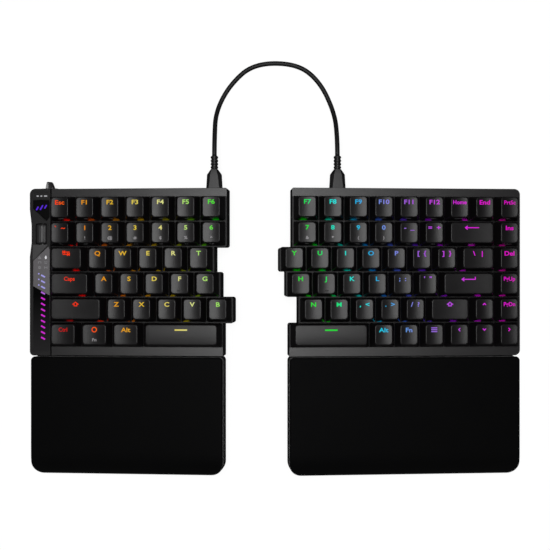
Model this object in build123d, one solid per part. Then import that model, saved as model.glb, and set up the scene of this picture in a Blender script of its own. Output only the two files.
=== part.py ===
from build123d import *
import copy
import math
import os

os.makedirs("parts", exist_ok=True)

# Driving sizes, in millimetres and degrees.
# Each half has its own frame: a runs along X from the outer edge of the left keys (or from the left
# edge of the F7 column), b runs back from the front of the bottom row, c stands on the plate.
key_pitch = 19.05
tent_angle = 4.0
halves_gap = 50.8
joined_clearance = 0.5
key_travel = 3.5

# Heights above the underside of the case.
case_floor = 2.0
plate_top = 18.0
plate_thickness = 1.5
panel_top = 20.0
board_thickness = 1.6
board_depth = 5.0
cap_clearance = 0.3

# Outline of the two halves.
panel_side = 16.9
outer_rim = 2.6
inner_rim = 0.6
rear_strip = 6.1
front_strip = 6.6
step_setback = 0.1
case_wall = 1.6
rear_corner_radius = 4.3
front_corner_radius = 3.2
step_radius = 1.8
rear_inner_radius = 1.2
scoop_depth = 1.35
scoop_from_rear = 15.7
scoop_rear_slope = 12.1
scoop_flat = 13.6
scoop_front_slope = 10.6
ground_gap = 1.2

# Keycaps, switches and plate cut-outs.
cap_base_gap = 1.0
cap_side_inset = 2.6
cap_rear_inset = 1.1
cap_front_inset = 2.4
cap_top_chamfer = 1.15
cap_dish = 0.5
space_bar_crown = 0.4
cap_wall = 1.2
cap_roof = 1.6
function_cap_height = 9.6
number_cap_height = 9.2
upper_cap_height = 8.8
home_cap_height = 8.6
lower_cap_height = 8.8
bottom_cap_height = 8.8
switch_width = 13.5
switch_hole = 14.0
switch_rise = 5.4
switch_draft_share = 0.28
slider_width = 7.2
slider_depth = 5.2
slot_clearance = 0.1
slider_rest_gap = 4.0
board_margin = 2.4

# Control panel, wheel and lever.
panel_joint = 0.8
panel_gap = 0.2
panel_skirt = 3.5
wheel_radius = 5.0
wheel_length = 14.6
wheel_rise = 1.5
wheel_from_edge = 7.8
wheel_from_rear = 34.5
wheel_rib_depth = 0.35
wheel_rib_count = 16
wheel_gap = 0.7
axle_radius = 1.0
axle_length = 20.6
axle_clearance = 0.05
bearing_thickness = 2.0
bearing_depth = 5.6
badge_depth = 0.8
badge_outer = 14.4
badge_inner = 1.5
badge_rear = 8.7
badge_rear_cut = 1.8
badge_rear_cut_width = 0.7
badge_outer_length = 6.6
badge_inner_length = 13.1
badge_front_cut = 2.5
badge_front_cut_depth = 2.9
tile_height = 0.2
mark_pocket_depth = 0.5
mark_pocket_outer = 14.4
mark_pocket_inner = 1.2
mark_pocket_length = 5.8
mark_from_rear = 5.6
mark_length = 1.2
mark_places = ((10.9, 1.8), (8.05, 1.5), (4.75, 2.6))
icon_from_wheel = 10.6
icon_pitch = 3.8
icon_size = 1.6
icon_places = (9.2, 4.4)
icon_rows = 3
stripe_middle = 6.55
stripe_from_icons = 6.5
stripe_pitch = 4.3
stripe_length = 3.4
stripe_width = 1.15
stripe_angle = 28.0
stripe_count = 12
stripe_dot = 0.9
stripe_dot_offset = 3.3
stripe_dot_count = 3
lever_offset = 3.4
lever_width = 6.6
lever_reach = 5.9
lever_outer_taper = 1.1
lever_inner_taper = 2.1
lever_height = 4.2
lever_neck = 3.0
lever_level = 11.5
lever_travel = 2.5
lever_collar = 11.9
lever_collar_depth = 0.6
lever_fit = 0.15

# Ports, plugs and link cable.
port_level = 7.6
port_width = 8.94
port_height = 3.26
port_depth = 7.3
port_shell = 0.3
port_cut = 0.9
port_sink = 0.6
tongue_width = 6.6
tongue_height = 0.7
plug_shell_width = 8.3
plug_shell_height = 2.5
plug_shell_length = 6.3
plug_shell_wall = 0.35
left_plug_from_edge = 10.9
right_plug_position = 35.0
host_port_position = 70.0
overmould_root = 12.5
overmould_end = 11.2
overmould_length = 11.0
overmould_nose = 15.2
overmould_neck = 4.6
overmould_height = 7.2
overmould_crown = 6.1
relief_end = 25.4
relief_radius = 2.4
relief_rib = 2.9
relief_rib_length = 1.3
relief_rib_count = 4
cable_radius = 1.8
small_round_sides = 8
cable_lead = 14.0
loop_reach = 74.4

# Wrist rests and what stands on the desk.
rest_gap = 0.6
rest_front = 97.6
rest_base_height = 6.0
rest_height = 18.3
rest_crown = 0.4
rest_crown_radius = 380.0
rest_front_drop = 4.0
rest_front_reach = 16.0
rest_front_bend = 30.0
rest_front_roll = 4.5
rest_rear_roll = 1.6
rest_side_roll = 1.4
rest_overhang = 0.4
rest_front_radius = 9.5
rest_rear_radius = 3.6
rest_inset = 0.3
stand_thickness = 2.6
stand_radius = 1.6
stand_level = 1.9
stand_width = 46.0
stand_inset = 17.0
stand_pin = 1.0
stand_pin_length = 1.6
bay_depth = 3.7
bay_side_gap = 0.4
bay_wall = 2.2
bay_length = 20.0
bay_roof = 1.4
hinge_gap = 0.05
foot_length = 14.0
foot_width = 8.0
foot_inset = 4.0
case_stand_front = 24.0
rest_stand_front = 74.0

# How far the halves go apart, and the battery.
spread_out = 30.0
battery_length = 62.0
battery_depth = 34.0
battery_height = 7.4
battery_position = 20.0
battery_front = 40.0

# Shares: parts of a key pitch, of a height or of the loop, so none of them is a length.
left_edge_shares = {1: 7.0, 2: 7.0, 3: 6.5, 4: 6.75, 5: 7.25, 6: 6.845}
right_edge_shares = {1: 0.0, 2: 0.0, 3: -0.5, 4: -0.25, 5: 0.25, 6: -0.115}
step_line_shares = {1: 0.955, 2: 2.0, 3: 3.0, 4: 3.968}
right_outer_share = 9.0
row_count = 6
space_bar_share = 3.125
left_key_shares = {
    "left_function_keys": (1, [(i, 1) for i in range(7)]),
    "left_number_keys": (2, [(i, 1) for i in range(7)]),
    "left_tab_key": (3, [(0, 1.5)]),
    "left_upper_letter_keys": (3, [(1.5 + i, 1) for i in range(5)]),
    "left_caps_key": (4, [(0, 1.75)]),
    "left_home_letter_keys": (4, [(1.75 + i, 1) for i in range(5)]),
    "left_shift_key": (5, [(0, 2.25)]),
    "left_lower_letter_keys": (5, [(2.25 + i, 1) for i in range(5)]),
    "left_control_key": (6, [(0, 1.25)]),
    "left_super_key": (6, [(1.25, 1.25)]),
    "left_alt_key": (6, [(2.5, 1.25)]),
    "left_space_bar": (6, [(3.75, space_bar_share)]),
}
right_key_shares = {
    "right_function_keys": (1, [(i, 1) for i in range(9)]),
    "right_number_keys": (2, [(i, 1) for i in range(6)] + [(8, 1)]),
    "right_backspace_key": (2, [(6, 2)]),
    "right_upper_letter_keys": (3, [(i - 0.5, 1) for i in range(7)] + [(8, 1)]),
    "right_backslash_key": (3, [(6.5, 1.5)]),
    "right_home_letter_keys": (4, [(i - 0.25, 1) for i in range(6)] + [(8, 1)]),
    "right_enter_key": (4, [(5.75, 2.25)]),
    "right_lower_letter_keys": (5, [(i + 0.25, 1) for i in range(5)] + [(7, 1), (8, 1)]),
    "right_shift_key": (5, [(5.25, 1.75)]),
    "right_space_bar": (6, [(-0.125, space_bar_share)]),
    "right_bottom_row_keys": (6, [(3 + i, 1) for i in range(6)]),
}
# The free loop of the cable, as parts of the distance between the plugs and of the loop's reach.
loop_shares = [(0.0, 0.497), (0.105, 0.778), (0.317, 1.0), (0.668, 1.0), (0.867, 0.816), (1.0, 0.484)]
corner_share = 0.45
dish_share = 0.5

# What follows from them.
rim_level = plate_top + key_travel + cap_clearance
plate_bottom = plate_top - plate_thickness
board_top = plate_top - board_depth
board_bottom = board_top - board_thickness
front_edge = -front_strip
rear_edge = row_count * key_pitch + rear_strip
scoop_rear = rear_edge - scoop_from_rear
scoop_rear_flat = scoop_rear - scoop_rear_slope
scoop_front_flat = scoop_rear_flat - scoop_flat
scoop_front = scoop_front_flat - scoop_front_slope
right_outer = right_outer_share * key_pitch + outer_rim
cap_heights = [function_cap_height, number_cap_height, upper_cap_height, home_cap_height]
cap_heights += [lower_cap_height, bottom_cap_height]
sine = math.sin(math.radians(tent_angle))
cosine = math.cos(math.radians(tent_angle))
left_lift = ground_gap + panel_side * sine
right_lift = ground_gap + right_outer * sine
inner_share = left_edge_shares[1]
right_shift = inner_share * key_pitch * cosine - 2 * rim_level * sine + halves_gap
case_gap = right_shift - (inner_share * key_pitch + 2 * inner_rim) * cosine
spread_in = case_gap - joined_clearance


def left_place(x, y, z):
    """The left half's frame, moved by a shift in the world."""
    return Pos(x, y, z + left_lift) * Rot(0, -tent_angle, 0)


def right_place(x, y, z):
    """The right half's frame, moved by a shift in the world."""
    return Pos(x + right_shift, y, z + right_lift) * Rot(0, tent_angle, 0)


def left_floor(a):
    """Height of the desk in the left half's frame."""
    return -(left_lift + a * sine) / cosine


def right_floor(a):
    """Height of the desk in the right half's frame."""
    return -(right_lift - a * sine) / cosine


def block(a_low, a_high, b_low, b_high, c_low, c_high):
    """A box between the given faces."""
    size = Box(a_high - a_low, b_high - b_low, c_high - c_low, align=(Align.MIN, Align.MIN, Align.MIN))
    return Pos(a_low, b_low, c_low) * size


def outline(corners, level):
    """A face at one level. Each corner is (a, b, radius), given anticlockwise."""
    edges = []
    ends = []
    count = len(corners)
    for i in range(count):
        a, b, radius = corners[i]
        before = Vector(corners[i - 1][0] - a, corners[i - 1][1] - b).normalized()
        after = Vector(corners[(i + 1) % count][0] - a, corners[(i + 1) % count][1] - b).normalized()
        here = Vector(a, b, level)
        if radius > 0:
            half = before.get_angle(after) / 2
            reach = radius / math.tan(math.radians(half))
            middle = here + (before + after).normalized() * (
                radius / math.sin(math.radians(half)) - radius
            )
            ends.append((here + before * reach, middle, here + after * reach))
        else:
            ends.append((here, None, here))
    for i in range(count):
        first, middle, last = ends[i]
        if middle is not None:
            edges.append(ThreePointArc(first, middle, last))
        edges.append(Line(last, ends[(i + 1) % count][0]))
    return make_face(edges)


def prism(corners, low, high):
    """An outline pushed from one level to another."""
    return extrude(outline(corners, low), amount=high - low, dir=(0, 0, 1))


def across(profile, b_low, b_high):
    """A profile in a and c, pushed along b."""
    line = Polyline([(a, b_low, c) for a, c in profile], close=True)
    return extrude(make_face(line), amount=b_high - b_low, dir=(0, 1, 0))


def ring_solid(rings):
    """A closed solid with flat faces through rings of points, from the lowest to the highest."""
    faces = [Face(Wire.make_polygon(rings[0], close=True)), Face(Wire.make_polygon(rings[-1], close=True))]
    for low, high in zip(rings, rings[1:]):
        count = len(low)
        for i in range(count):
            j = (i + 1) % count
            faces.append(Face(Wire.make_polygon([low[i], low[j], high[j], high[i]], close=True)))
    return Solid(Shell(faces))


def ring(a_low, a_high, b_low, b_high, level, chamfer):
    """A rectangle of points at one level, its corners cut off if there is a chamfer."""
    if chamfer == 0:
        return [(a_low, b_low, level), (a_high, b_low, level), (a_high, b_high, level), (a_low, b_high, level)]
    return [
        (a_low + chamfer, b_low, level),
        (a_high - chamfer, b_low, level),
        (a_high, b_low + chamfer, level),
        (a_high, b_high - chamfer, level),
        (a_high - chamfer, b_high, level),
        (a_low + chamfer, b_high, level),
        (a_low, b_high - chamfer, level),
        (a_low, b_low + chamfer, level),
    ]


def cap_outside(base, top, height, dip, turned):
    """A solid from a rectangle up to a smaller one with cut corners, whose middle band dips.

    base and top are (u low, u high, v low, v high). The band runs along v. When turned, u is b.
    """
    level = height - dip
    share = level / height
    v_low = base[2] + (top[2] - base[2]) * share
    v_high = base[3] + (top[3] - base[3]) * share
    middle = (top[0] + top[1]) / 2
    half = (top[1] - top[0]) / 2 * dish_share
    foot = ring(*base, 0, 0)
    rim = ring(*top, height, cap_top_chamfer)
    band = ring(middle - half, middle + half, v_low, v_high, level, 0)
    polygons = [
        foot,
        band,
        [foot[0], foot[1], rim[1], band[1], band[0], rim[0]],
        [foot[2], foot[3], rim[5], band[3], band[2], rim[4]],
        [foot[1], foot[2], rim[3], rim[2]],
        [foot[3], foot[0], rim[7], rim[6]],
        [rim[7], band[0], band[3], rim[6]],
        [rim[2], rim[3], band[2], band[1]],
    ]
    for i in range(4):
        polygons.append([foot[(i + 1) % 4], rim[(2 * i + 2) % 8], rim[2 * i + 1]])
    polygons += [
        [rim[0], band[0], rim[7]],
        [rim[1], rim[2], band[1]],
        [rim[4], band[2], rim[3]],
        [rim[5], rim[6], band[3]],
    ]
    if turned:
        polygons = [[(v, u, c) for u, v, c in points] for points in polygons]
    return Solid(Shell([Face(Wire.make_polygon(points, close=True)) for points in polygons]))


def rod(radius, point, direction, length):
    """A round rod from a point."""
    return extrude(Plane(origin=point, z_dir=direction) * Circle(radius), amount=length)


def bar(radius, point, direction, length):
    """A rod with flat sides, for small pieces and for the cable."""
    section = RegularPolygon(radius, small_round_sides)
    return extrude(Plane(origin=point, z_dir=direction) * section, amount=length)


def fresh(shape):
    """A copy that shares nothing with the first."""
    return copy.deepcopy(shape)


# The stepped outline, from the rows' inner edges.
def left_steps(grow, setback):
    """Inner edge of the left half from front to back; grow moves it in, setback off the row lines."""
    e = {row: share * key_pitch + inner_rim - grow for row, share in left_edge_shares.items()}
    line = {i: share * key_pitch for i, share in step_line_shares.items()}
    return [
        (e[6], line[1] + setback),
        (e[5], line[1] + setback),
        (e[5], line[2] - setback),
        (e[4], line[2] - setback),
        (e[4], line[3] - setback),
        (e[3], line[3] - setback),
        (e[3], line[4] + setback),
        (e[2], line[4] + setback),
    ]


def right_steps(grow, setback):
    """Inner edge of the right half from back to front."""
    e = {row: share * key_pitch - inner_rim + grow for row, share in right_edge_shares.items()}
    line = {i: share * key_pitch for i, share in step_line_shares.items()}
    return [
        (e[2], line[4] - setback),
        (e[3], line[4] - setback),
        (e[3], line[3] + setback),
        (e[4], line[3] + setback),
        (e[4], line[2] + setback),
        (e[5], line[2] + setback),
        (e[5], line[1] - setback),
        (e[6], line[1] - setback),
    ]


def turning_radii(points):
    """The radius of each point: outside corners are rounded and inside ones are sharp."""
    radii = []
    for i in range(1, len(points) - 1):
        before = (points[i][0] - points[i - 1][0], points[i][1] - points[i - 1][1])
        after = (points[i + 1][0] - points[i][0], points[i + 1][1] - points[i][1])
        turn = before[0] * after[1] - before[1] * after[0]
        radii.append(step_radius if turn > 0 else 0)
    return radii


left_inner_front = left_edge_shares[6] * key_pitch + inner_rim
left_inner_rear = left_edge_shares[1] * key_pitch + inner_rim
right_inner_front = right_edge_shares[6] * key_pitch - inner_rim
right_inner_rear = right_edge_shares[1] * key_pitch - inner_rim

left_stair = left_steps(0, step_setback)
left_radii = turning_radii([(left_inner_front, front_edge)] + left_stair + [(left_inner_rear, rear_edge)])
right_stair = right_steps(0, step_setback)
right_radii = turning_radii([(right_inner_rear, rear_edge)] + right_stair + [(right_inner_front, front_edge)])

left_stair_corners = [(p[0], p[1], r) for p, r in zip(left_stair, left_radii)]
right_stair_corners = [(p[0], p[1], r) for p, r in zip(right_stair, right_radii)]
left_scoop_corners = [
    (-panel_side, rear_edge, rear_corner_radius),
    (-panel_side, scoop_rear, 0),
    (-panel_side + scoop_depth, scoop_rear_flat, 0),
    (-panel_side + scoop_depth, scoop_front_flat, 0),
    (-panel_side, scoop_front, 0),
    (-panel_side, front_edge, front_corner_radius),
]
left_case_corners = (
    [(left_inner_front, front_edge, 0)]
    + left_stair_corners
    + [(left_inner_rear, rear_edge, rear_inner_radius)]
    + left_scoop_corners
)
left_plate_corners = (
    [(left_inner_front, front_edge, 0)]
    + left_stair_corners
    + [(left_inner_rear, rear_edge, rear_inner_radius)]
    + [(-panel_joint, rear_edge, 0), (-panel_joint, front_edge, 0)]
)
right_case_corners = (
    [(right_outer, front_edge, rear_corner_radius), (right_outer, rear_edge, rear_corner_radius)]
    + [(right_inner_rear, rear_edge, rear_inner_radius)]
    + right_stair_corners
    + [(right_inner_front, front_edge, 0)]
)

left_well = [(p[0], p[1], 0) for p in left_steps(case_wall, step_setback + case_wall)]
left_well_corners = (
    [(left_inner_front - case_wall, front_edge + case_wall, 0)]
    + left_well
    + [(left_inner_rear - case_wall, rear_edge - case_wall, 0)]
    + [(scoop_depth + case_wall - panel_side, rear_edge - case_wall - rear_corner_radius, 0)]
    + [(scoop_depth + case_wall - panel_side, front_edge + case_wall + front_corner_radius, 0)]
)
left_well_corners.insert(-2, (rear_corner_radius + case_wall - panel_side, rear_edge - case_wall, 0))
left_well_corners.append((front_corner_radius + case_wall - panel_side, front_edge + case_wall, 0))
right_well = [(p[0], p[1], 0) for p in right_steps(case_wall, step_setback + case_wall)]
right_well_corners = (
    [(right_outer - case_wall - rear_corner_radius, front_edge + case_wall, 0)]
    + [(right_outer - case_wall, front_edge + case_wall + rear_corner_radius, 0)]
    + [(right_outer - case_wall, rear_edge - case_wall - rear_corner_radius, 0)]
    + [(right_outer - case_wall - rear_corner_radius, rear_edge - case_wall, 0)]
    + [(right_inner_rear + case_wall, rear_edge - case_wall, 0)]
    + right_well
    + [(right_inner_front + case_wall, front_edge + case_wall, 0)]
)


# Keys: each cap is an open shell on the slider of its switch.
def cap_shell(width_share, row):
    """A cap around its own middle, its rim at zero: dished, or crowned if it is a space bar."""
    height = cap_heights[row - 1]
    wide = (width_share * key_pitch - cap_base_gap) / 2
    deep = (key_pitch - cap_base_gap) / 2
    top_side = wide - cap_side_inset
    top_front = cap_front_inset - deep
    top_rear = deep - cap_rear_inset
    if width_share == space_bar_share:
        base = (-deep, deep, -wide, wide)
        top = (top_front, top_rear, -top_side, top_side)
        shell = cap_outside(base, top, height, -space_bar_crown, True)
    else:
        base = (-wide, wide, -deep, deep)
        top = (-top_side, top_side, top_front, top_rear)
        shell = cap_outside(base, top, height, cap_dish, False)
    share = (height - cap_roof) / height
    low = ring(cap_wall - wide, wide - cap_wall, cap_wall - deep, deep - cap_wall, 0, 0)
    side = wide - cap_side_inset * share - cap_wall
    front = cap_front_inset * share + cap_wall - deep
    rear = deep - cap_rear_inset * share - cap_wall
    high = ring(-side, side, front, rear, height - cap_roof, 0)
    return shell - ring_solid([low, high])


def key_middle(row, start_share, width_share):
    """Middle of a key in its half's frame."""
    return (start_share + width_share / 2) * key_pitch, (row_count - row + 1 / 2) * key_pitch


def slider(row):
    """The slider under a cap, from inside its switch up to the cap's roof."""
    low = board_top + slider_rest_gap
    high = rim_level + cap_heights[row - 1] - cap_roof
    return block(-slider_width / 2, slider_width / 2, -slider_depth / 2, slider_depth / 2, low, high)


caps = {}


def key_group(row, places):
    """The caps and sliders of one group of keys, in their half's frame."""
    solids = []
    for start_share, width_share in places:
        if (row, width_share) not in caps:
            caps[(row, width_share)] = cap_shell(width_share, row)
        a, b = key_middle(row, start_share, width_share)
        solids += (Pos(a, b, rim_level) * fresh(caps[(row, width_share)])).solids()
        solids += (Pos(a, b, 0) * slider(row)).solids()
    return solids


def housing():
    """A switch housing around its own middle, open at the top for the slider."""
    foot = switch_width / 2
    crown = (switch_width - switch_draft_share * switch_rise) / 2
    body = ring_solid(
        [
            ring(-foot, foot, -foot, foot, board_top, 0),
            ring(-crown, crown, -crown, crown, plate_top + switch_rise, 0),
        ]
    )
    wide = slider_width / 2 + slot_clearance
    deep = slider_depth / 2 + slot_clearance
    low = board_top + slider_rest_gap - key_travel - slot_clearance
    return body - block(-wide, wide, -deep, deep, low, plate_top + switch_rise)


def middles(tables):
    """The middle of every key in a set of groups."""
    return [key_middle(row, s, w) for row, places in tables.values() for s, w in places]


def pierced(plate, places):
    """A plate with a square hole for every switch."""
    hole = switch_hole / 2
    cutters = [
        block(a - hole, a + hole, b - hole, b + hole, plate_bottom, plate_top) for a, b in places
    ]
    return plate - cutters


def bay(hinge, way, b_low, b_high, tub):
    """Adds a raised bay to a tub and cuts it from below for a folding stand."""
    near = hinge - way * (stand_radius + hinge_gap)
    far = hinge + way * bay_length
    low, high = min(near, far), max(near, far)
    front = b_low - bay_side_gap
    rear = b_high + bay_side_gap
    lump = block(
        low - bay_wall, high + bay_wall, front - bay_wall, rear + bay_wall, case_floor, bay_depth + bay_roof
    )
    hollow = block(low, high, front, rear, 0, bay_depth)
    socket_half = stand_pin + hinge_gap
    sockets = block(
        hinge - socket_half,
        hinge + socket_half,
        front - stand_pin_length,
        rear + stand_pin_length,
        stand_level - socket_half,
        stand_level + socket_half,
    )
    return tub + lump - hollow - sockets


def stand(hinge, way, b_low, b_high, floor_line):
    """A folding stand, standing square to the underside; way is the side it folds to."""
    back = hinge - way * stand_radius
    front = hinge - way * (stand_radius - stand_thickness)
    profile = [
        (back, stand_level),
        (back, floor_line(back)),
        (front, floor_line(front)),
        (front, stand_level),
    ]
    leaf = across(profile, b_low, b_high)
    barrel = rod(stand_radius, (hinge, b_low, stand_level), (0, 1, 0), b_high - b_low)
    reach = stand_pin_length + bay_side_gap - hinge_gap
    pins = bar(stand_pin, (hinge, b_low - reach, stand_level), (0, 1, 0), b_high - b_low + 2 * reach)
    return leaf + barrel + pins


def pads(a_low, a_high, b_places, floor_line):
    """Wedge-shaped feet between the case and the desk."""
    profile = [(a_low, 0), (a_low, floor_line(a_low)), (a_high, floor_line(a_high)), (a_high, 0)]
    return [across(profile, b, b + foot_length) for b in b_places]


def tub(case_corners, well_corners):
    """A case with a floor and walls up to the plate."""
    return prism(case_corners, 0, plate_bottom) - prism(well_corners, case_floor, plate_bottom)


def port_window(a):
    """The hole in the rear wall that a receptacle's mouth sits in."""
    wide = port_width / 2
    tall = port_height / 2
    return block(
        a - wide, a + wide, rear_edge - case_wall, rear_edge, port_level - tall, port_level + tall
    )


def port(a):
    """A receptacle: a shell with a contact tongue."""
    wide = port_width / 2
    tall = port_height / 2
    mouth = rear_edge - port_sink
    back = mouth - port_depth
    shell = across_ring(a, wide, tall, port_cut, back, mouth)
    cut = port_cut - port_shell / 2
    hollow = across_ring(a, wide - port_shell, tall - port_shell, cut, back + port_shell, mouth)
    tongue = block(
        a - tongue_width / 2,
        a + tongue_width / 2,
        back + port_shell / 2,
        mouth - port_sink,
        port_level - tongue_height / 2,
        port_level + tongue_height / 2,
    )
    return shell - hollow + tongue


def across_ring(a, wide, tall, cut, b_low, b_high):
    """A bar with cut corners along b, around the ports' level."""
    low = port_level - tall
    high = port_level + tall
    profile = [
        (a - wide + cut, low),
        (a + wide - cut, low),
        (a + wide, low + cut),
        (a + wide, high - cut),
        (a + wide - cut, high),
        (a - wide + cut, high),
        (a - wide, high - cut),
        (a - wide, low + cut),
    ]
    return across(profile, b_low, b_high)


def plug(a):
    """A cable plug: tapered overmould, ribbed strain relief, and the metal shell in the port."""
    tall = overmould_height / 2
    bevel = (overmould_root - overmould_crown) / 2
    rings = []
    for b, wide, high in [
        (0, overmould_root / 2, tall),
        (overmould_length, overmould_end / 2, tall),
        (overmould_nose, overmould_neck / 2, relief_radius),
    ]:
        top = wide - bevel * high / tall
        rings.append(
            [
                (a - wide, rear_edge + b, port_level - high / 3),
                (a - top, rear_edge + b, port_level - high),
                (a + top, rear_edge + b, port_level - high),
                (a + wide, rear_edge + b, port_level - high / 3),
                (a + wide, rear_edge + b, port_level + high / 3),
                (a + top, rear_edge + b, port_level + high),
                (a - top, rear_edge + b, port_level + high),
                (a - wide, rear_edge + b, port_level + high / 3),
            ]
        )
    body = ring_solid(rings)
    start = rear_edge + overmould_nose
    relief = bar(relief_radius, (a, start, port_level), (0, 1, 0), relief_end - overmould_nose)
    pitch = (relief_end - overmould_nose) / relief_rib_count
    ribs = [
        bar(
            relief_rib,
            (a, start + pitch * i + (pitch - relief_rib_length) / 2, port_level),
            (0, 1, 0),
            relief_rib_length,
        )
        for i in range(relief_rib_count)
    ]
    wide = plug_shell_width / 2
    tall = plug_shell_height / 2
    shell = across_ring(a, wide, tall, port_cut, rear_edge - plug_shell_length, rear_edge)
    inner = tall - plug_shell_wall
    cut = port_cut - plug_shell_wall / 2
    hollow = across_ring(a, wide - plug_shell_wall, inner, cut, rear_edge - plug_shell_length, rear_edge)
    return body + relief + ribs + (shell - hollow)


nodes = {}


def left_node(name, solids):
    """Keeps a node of the left half."""
    nodes[name] = ("left", solids)


def right_node(name, solids):
    """Keeps a node of the right half."""
    nodes[name] = ("right", solids)


# Left half.
left_middles = middles(left_key_shares)
right_middles = middles(right_key_shares)
left_hinge = min(left_edge_shares.values()) * key_pitch - stand_inset / 2
right_hinge = max(right_edge_shares.values()) * key_pitch + stand_inset / 2
case_stand_rear = case_stand_front + stand_width
left_plug_position = left_inner_rear - left_plug_from_edge
plate = pierced(prism(left_plate_corners, plate_bottom, plate_top), left_middles)
left_node("left_top_plate", plate.solids())

case = tub(left_case_corners, left_well_corners)
case = bay(left_hinge, -1, case_stand_front, case_stand_rear, case)
lever_low = lever_level - lever_height / 2 - lever_fit
lever_high = lever_level + lever_height / 2 + lever_fit
neck_half = lever_neck / 2 + lever_travel + lever_fit
collar = block(
    -lever_offset - lever_collar / 2,
    -lever_offset + lever_collar / 2,
    rear_edge,
    rear_edge + lever_collar_depth,
    lever_low - case_wall / 2,
    lever_high + case_wall / 2,
)
lever_window = block(
    -lever_offset - neck_half,
    -lever_offset + neck_half,
    rear_edge - case_wall,
    rear_edge + lever_collar_depth,
    lever_low,
    lever_high,
)
case = case + collar - lever_window - port_window(left_plug_position) - port_window(host_port_position)
left_node("left_bottom_case", case.solids())

board_corners = [(p[0], p[1], 0) for p in left_steps(board_margin + inner_rim, board_margin)]
board_corners = (
    [(left_inner_front - inner_rim - board_margin, board_margin, 0)]
    + board_corners
    + [(left_inner_rear - inner_rim - board_margin, row_count * key_pitch - board_margin / 2, 0)]
    + [(board_margin / 2, row_count * key_pitch - board_margin / 2, 0), (board_margin / 2, board_margin, 0)]
)
left_node("left_circuit_board", prism(board_corners, board_bottom, board_top).solids())

battery = block(
    battery_position,
    battery_position + battery_length,
    battery_front,
    battery_front + battery_depth,
    case_floor,
    case_floor + battery_height,
)
left_node("left_battery", battery.solids())

switch = housing()
left_housings = [s for a, b in left_middles for s in (Pos(a, b, 0) * fresh(switch)).solids()]
left_node("left_switches", left_housings)

# Control panel with the wheel slot and its two bearings.
wheel_a = -wheel_from_edge
wheel_c = panel_top + wheel_rise - wheel_radius
wheel_middle = rear_edge - wheel_from_rear
wheel_front = wheel_middle - wheel_length / 2
wheel_rear = wheel_middle + wheel_length / 2
panel_corners = [
    (-panel_joint - panel_gap, front_edge, 0),
    (-panel_joint - panel_gap, rear_edge, 0),
] + left_scoop_corners
panel = prism(panel_corners, panel_top - panel_skirt, panel_top)
bearing_low = wheel_c - axle_radius - bearing_thickness
for b in (wheel_front - wheel_gap - bearing_thickness, wheel_rear + wheel_gap):
    panel = panel + block(
        wheel_a - bearing_depth / 2,
        wheel_a + bearing_depth / 2,
        b,
        b + bearing_thickness,
        bearing_low,
        panel_top - panel_skirt,
    )
slot = rod(
    wheel_radius + wheel_gap,
    (wheel_a, wheel_front - wheel_gap, wheel_c),
    (0, 1, 0),
    wheel_length + 2 * wheel_gap,
)
axle_start = wheel_middle - axle_length / 2
bearing_half = axle_radius + axle_clearance
axle_bore = block(
    wheel_a - bearing_half,
    wheel_a + bearing_half,
    axle_start - slot_clearance,
    axle_start + axle_length + slot_clearance,
    wheel_c - bearing_half,
    wheel_c + bearing_half,
)
badge_high = rear_edge - badge_rear
badge_corners = [
    (-badge_outer, badge_high - badge_outer_length, 0),
    (-badge_inner - badge_front_cut, badge_high - badge_inner_length - badge_front_cut_depth, 0),
    (-badge_inner, badge_high - badge_inner_length, 0),
    (-badge_inner, badge_high - badge_rear_cut, 0),
    (-badge_inner - badge_rear_cut_width, badge_high, 0),
    (-badge_outer, badge_high, 0),
]
badge = prism(badge_corners, panel_top - badge_depth, panel_top)
mark_middle = rear_edge - mark_from_rear
mark_pocket = block(
    -mark_pocket_outer,
    -mark_pocket_inner,
    mark_middle - mark_pocket_length / 2,
    mark_middle + mark_pocket_length / 2,
    panel_top - mark_pocket_depth,
    panel_top,
)
panel = panel - slot - axle_bore - badge - mark_pocket
left_node("left_side_panel", panel.solids())
left_node("left_badge_plate", badge.solids())

# Wheel with ribs along its length, on a round axle.
wheel_points = []
for i in range(wheel_rib_count):
    for share, radius in ((0, wheel_radius), (0.5, wheel_radius), (0.75, wheel_radius - wheel_rib_depth)):
        turn = 2 * math.pi * (i + share) / wheel_rib_count
        wheel_points.append((wheel_a + radius * math.cos(turn), wheel_c + radius * math.sin(turn)))
wheel = across(wheel_points, wheel_front, wheel_rear)
axle = rod(axle_radius, (wheel_a, axle_start, wheel_c), (0, 1, 0), axle_length)
wheel = wheel - rod(axle_radius, (wheel_a, wheel_front, wheel_c), (0, 1, 0), wheel_length)
left_node("scroll_wheel", wheel.solids())
left_node("wheel_axle", axle.solids())

# Lights on the panel: marks in their pocket, icons, bars and dots, each a thin tile on the surface.
def light(a, b, width, length, level):
    """One thin tile."""
    return block(a - width / 2, a + width / 2, b - length / 2, b + length / 2, level, level + tile_height)


marks = []
for place, width in mark_places:
    marks += light(-place, mark_middle, width, mark_length, panel_top - mark_pocket_depth).solids()
icon_first = wheel_front - icon_from_wheel
for i in range(icon_rows):
    for place in icon_places:
        marks += light(-place, icon_first - icon_pitch * i, icon_size, icon_size, panel_top).solids()
left_node("left_status_lights", marks)

stripe_first = icon_first - icon_pitch * (icon_rows - 1) - stripe_from_icons
stripes = []
for i in range(stripe_count):
    b = stripe_first - stripe_pitch * i
    turned = Rot(0, 0, -stripe_angle) * light(0, 0, stripe_length, stripe_width, panel_top)
    stripes += (Pos(-stripe_middle, b, 0) * turned).solids()
for i in range(stripe_dot_count):
    b = stripe_first - stripe_pitch * i + stripe_dot_offset * math.tan(math.radians(stripe_angle))
    stripes += light(-stripe_middle - stripe_dot_offset, b, stripe_dot, stripe_dot, panel_top).solids()
left_node("left_stripe_lights", stripes)

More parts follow.
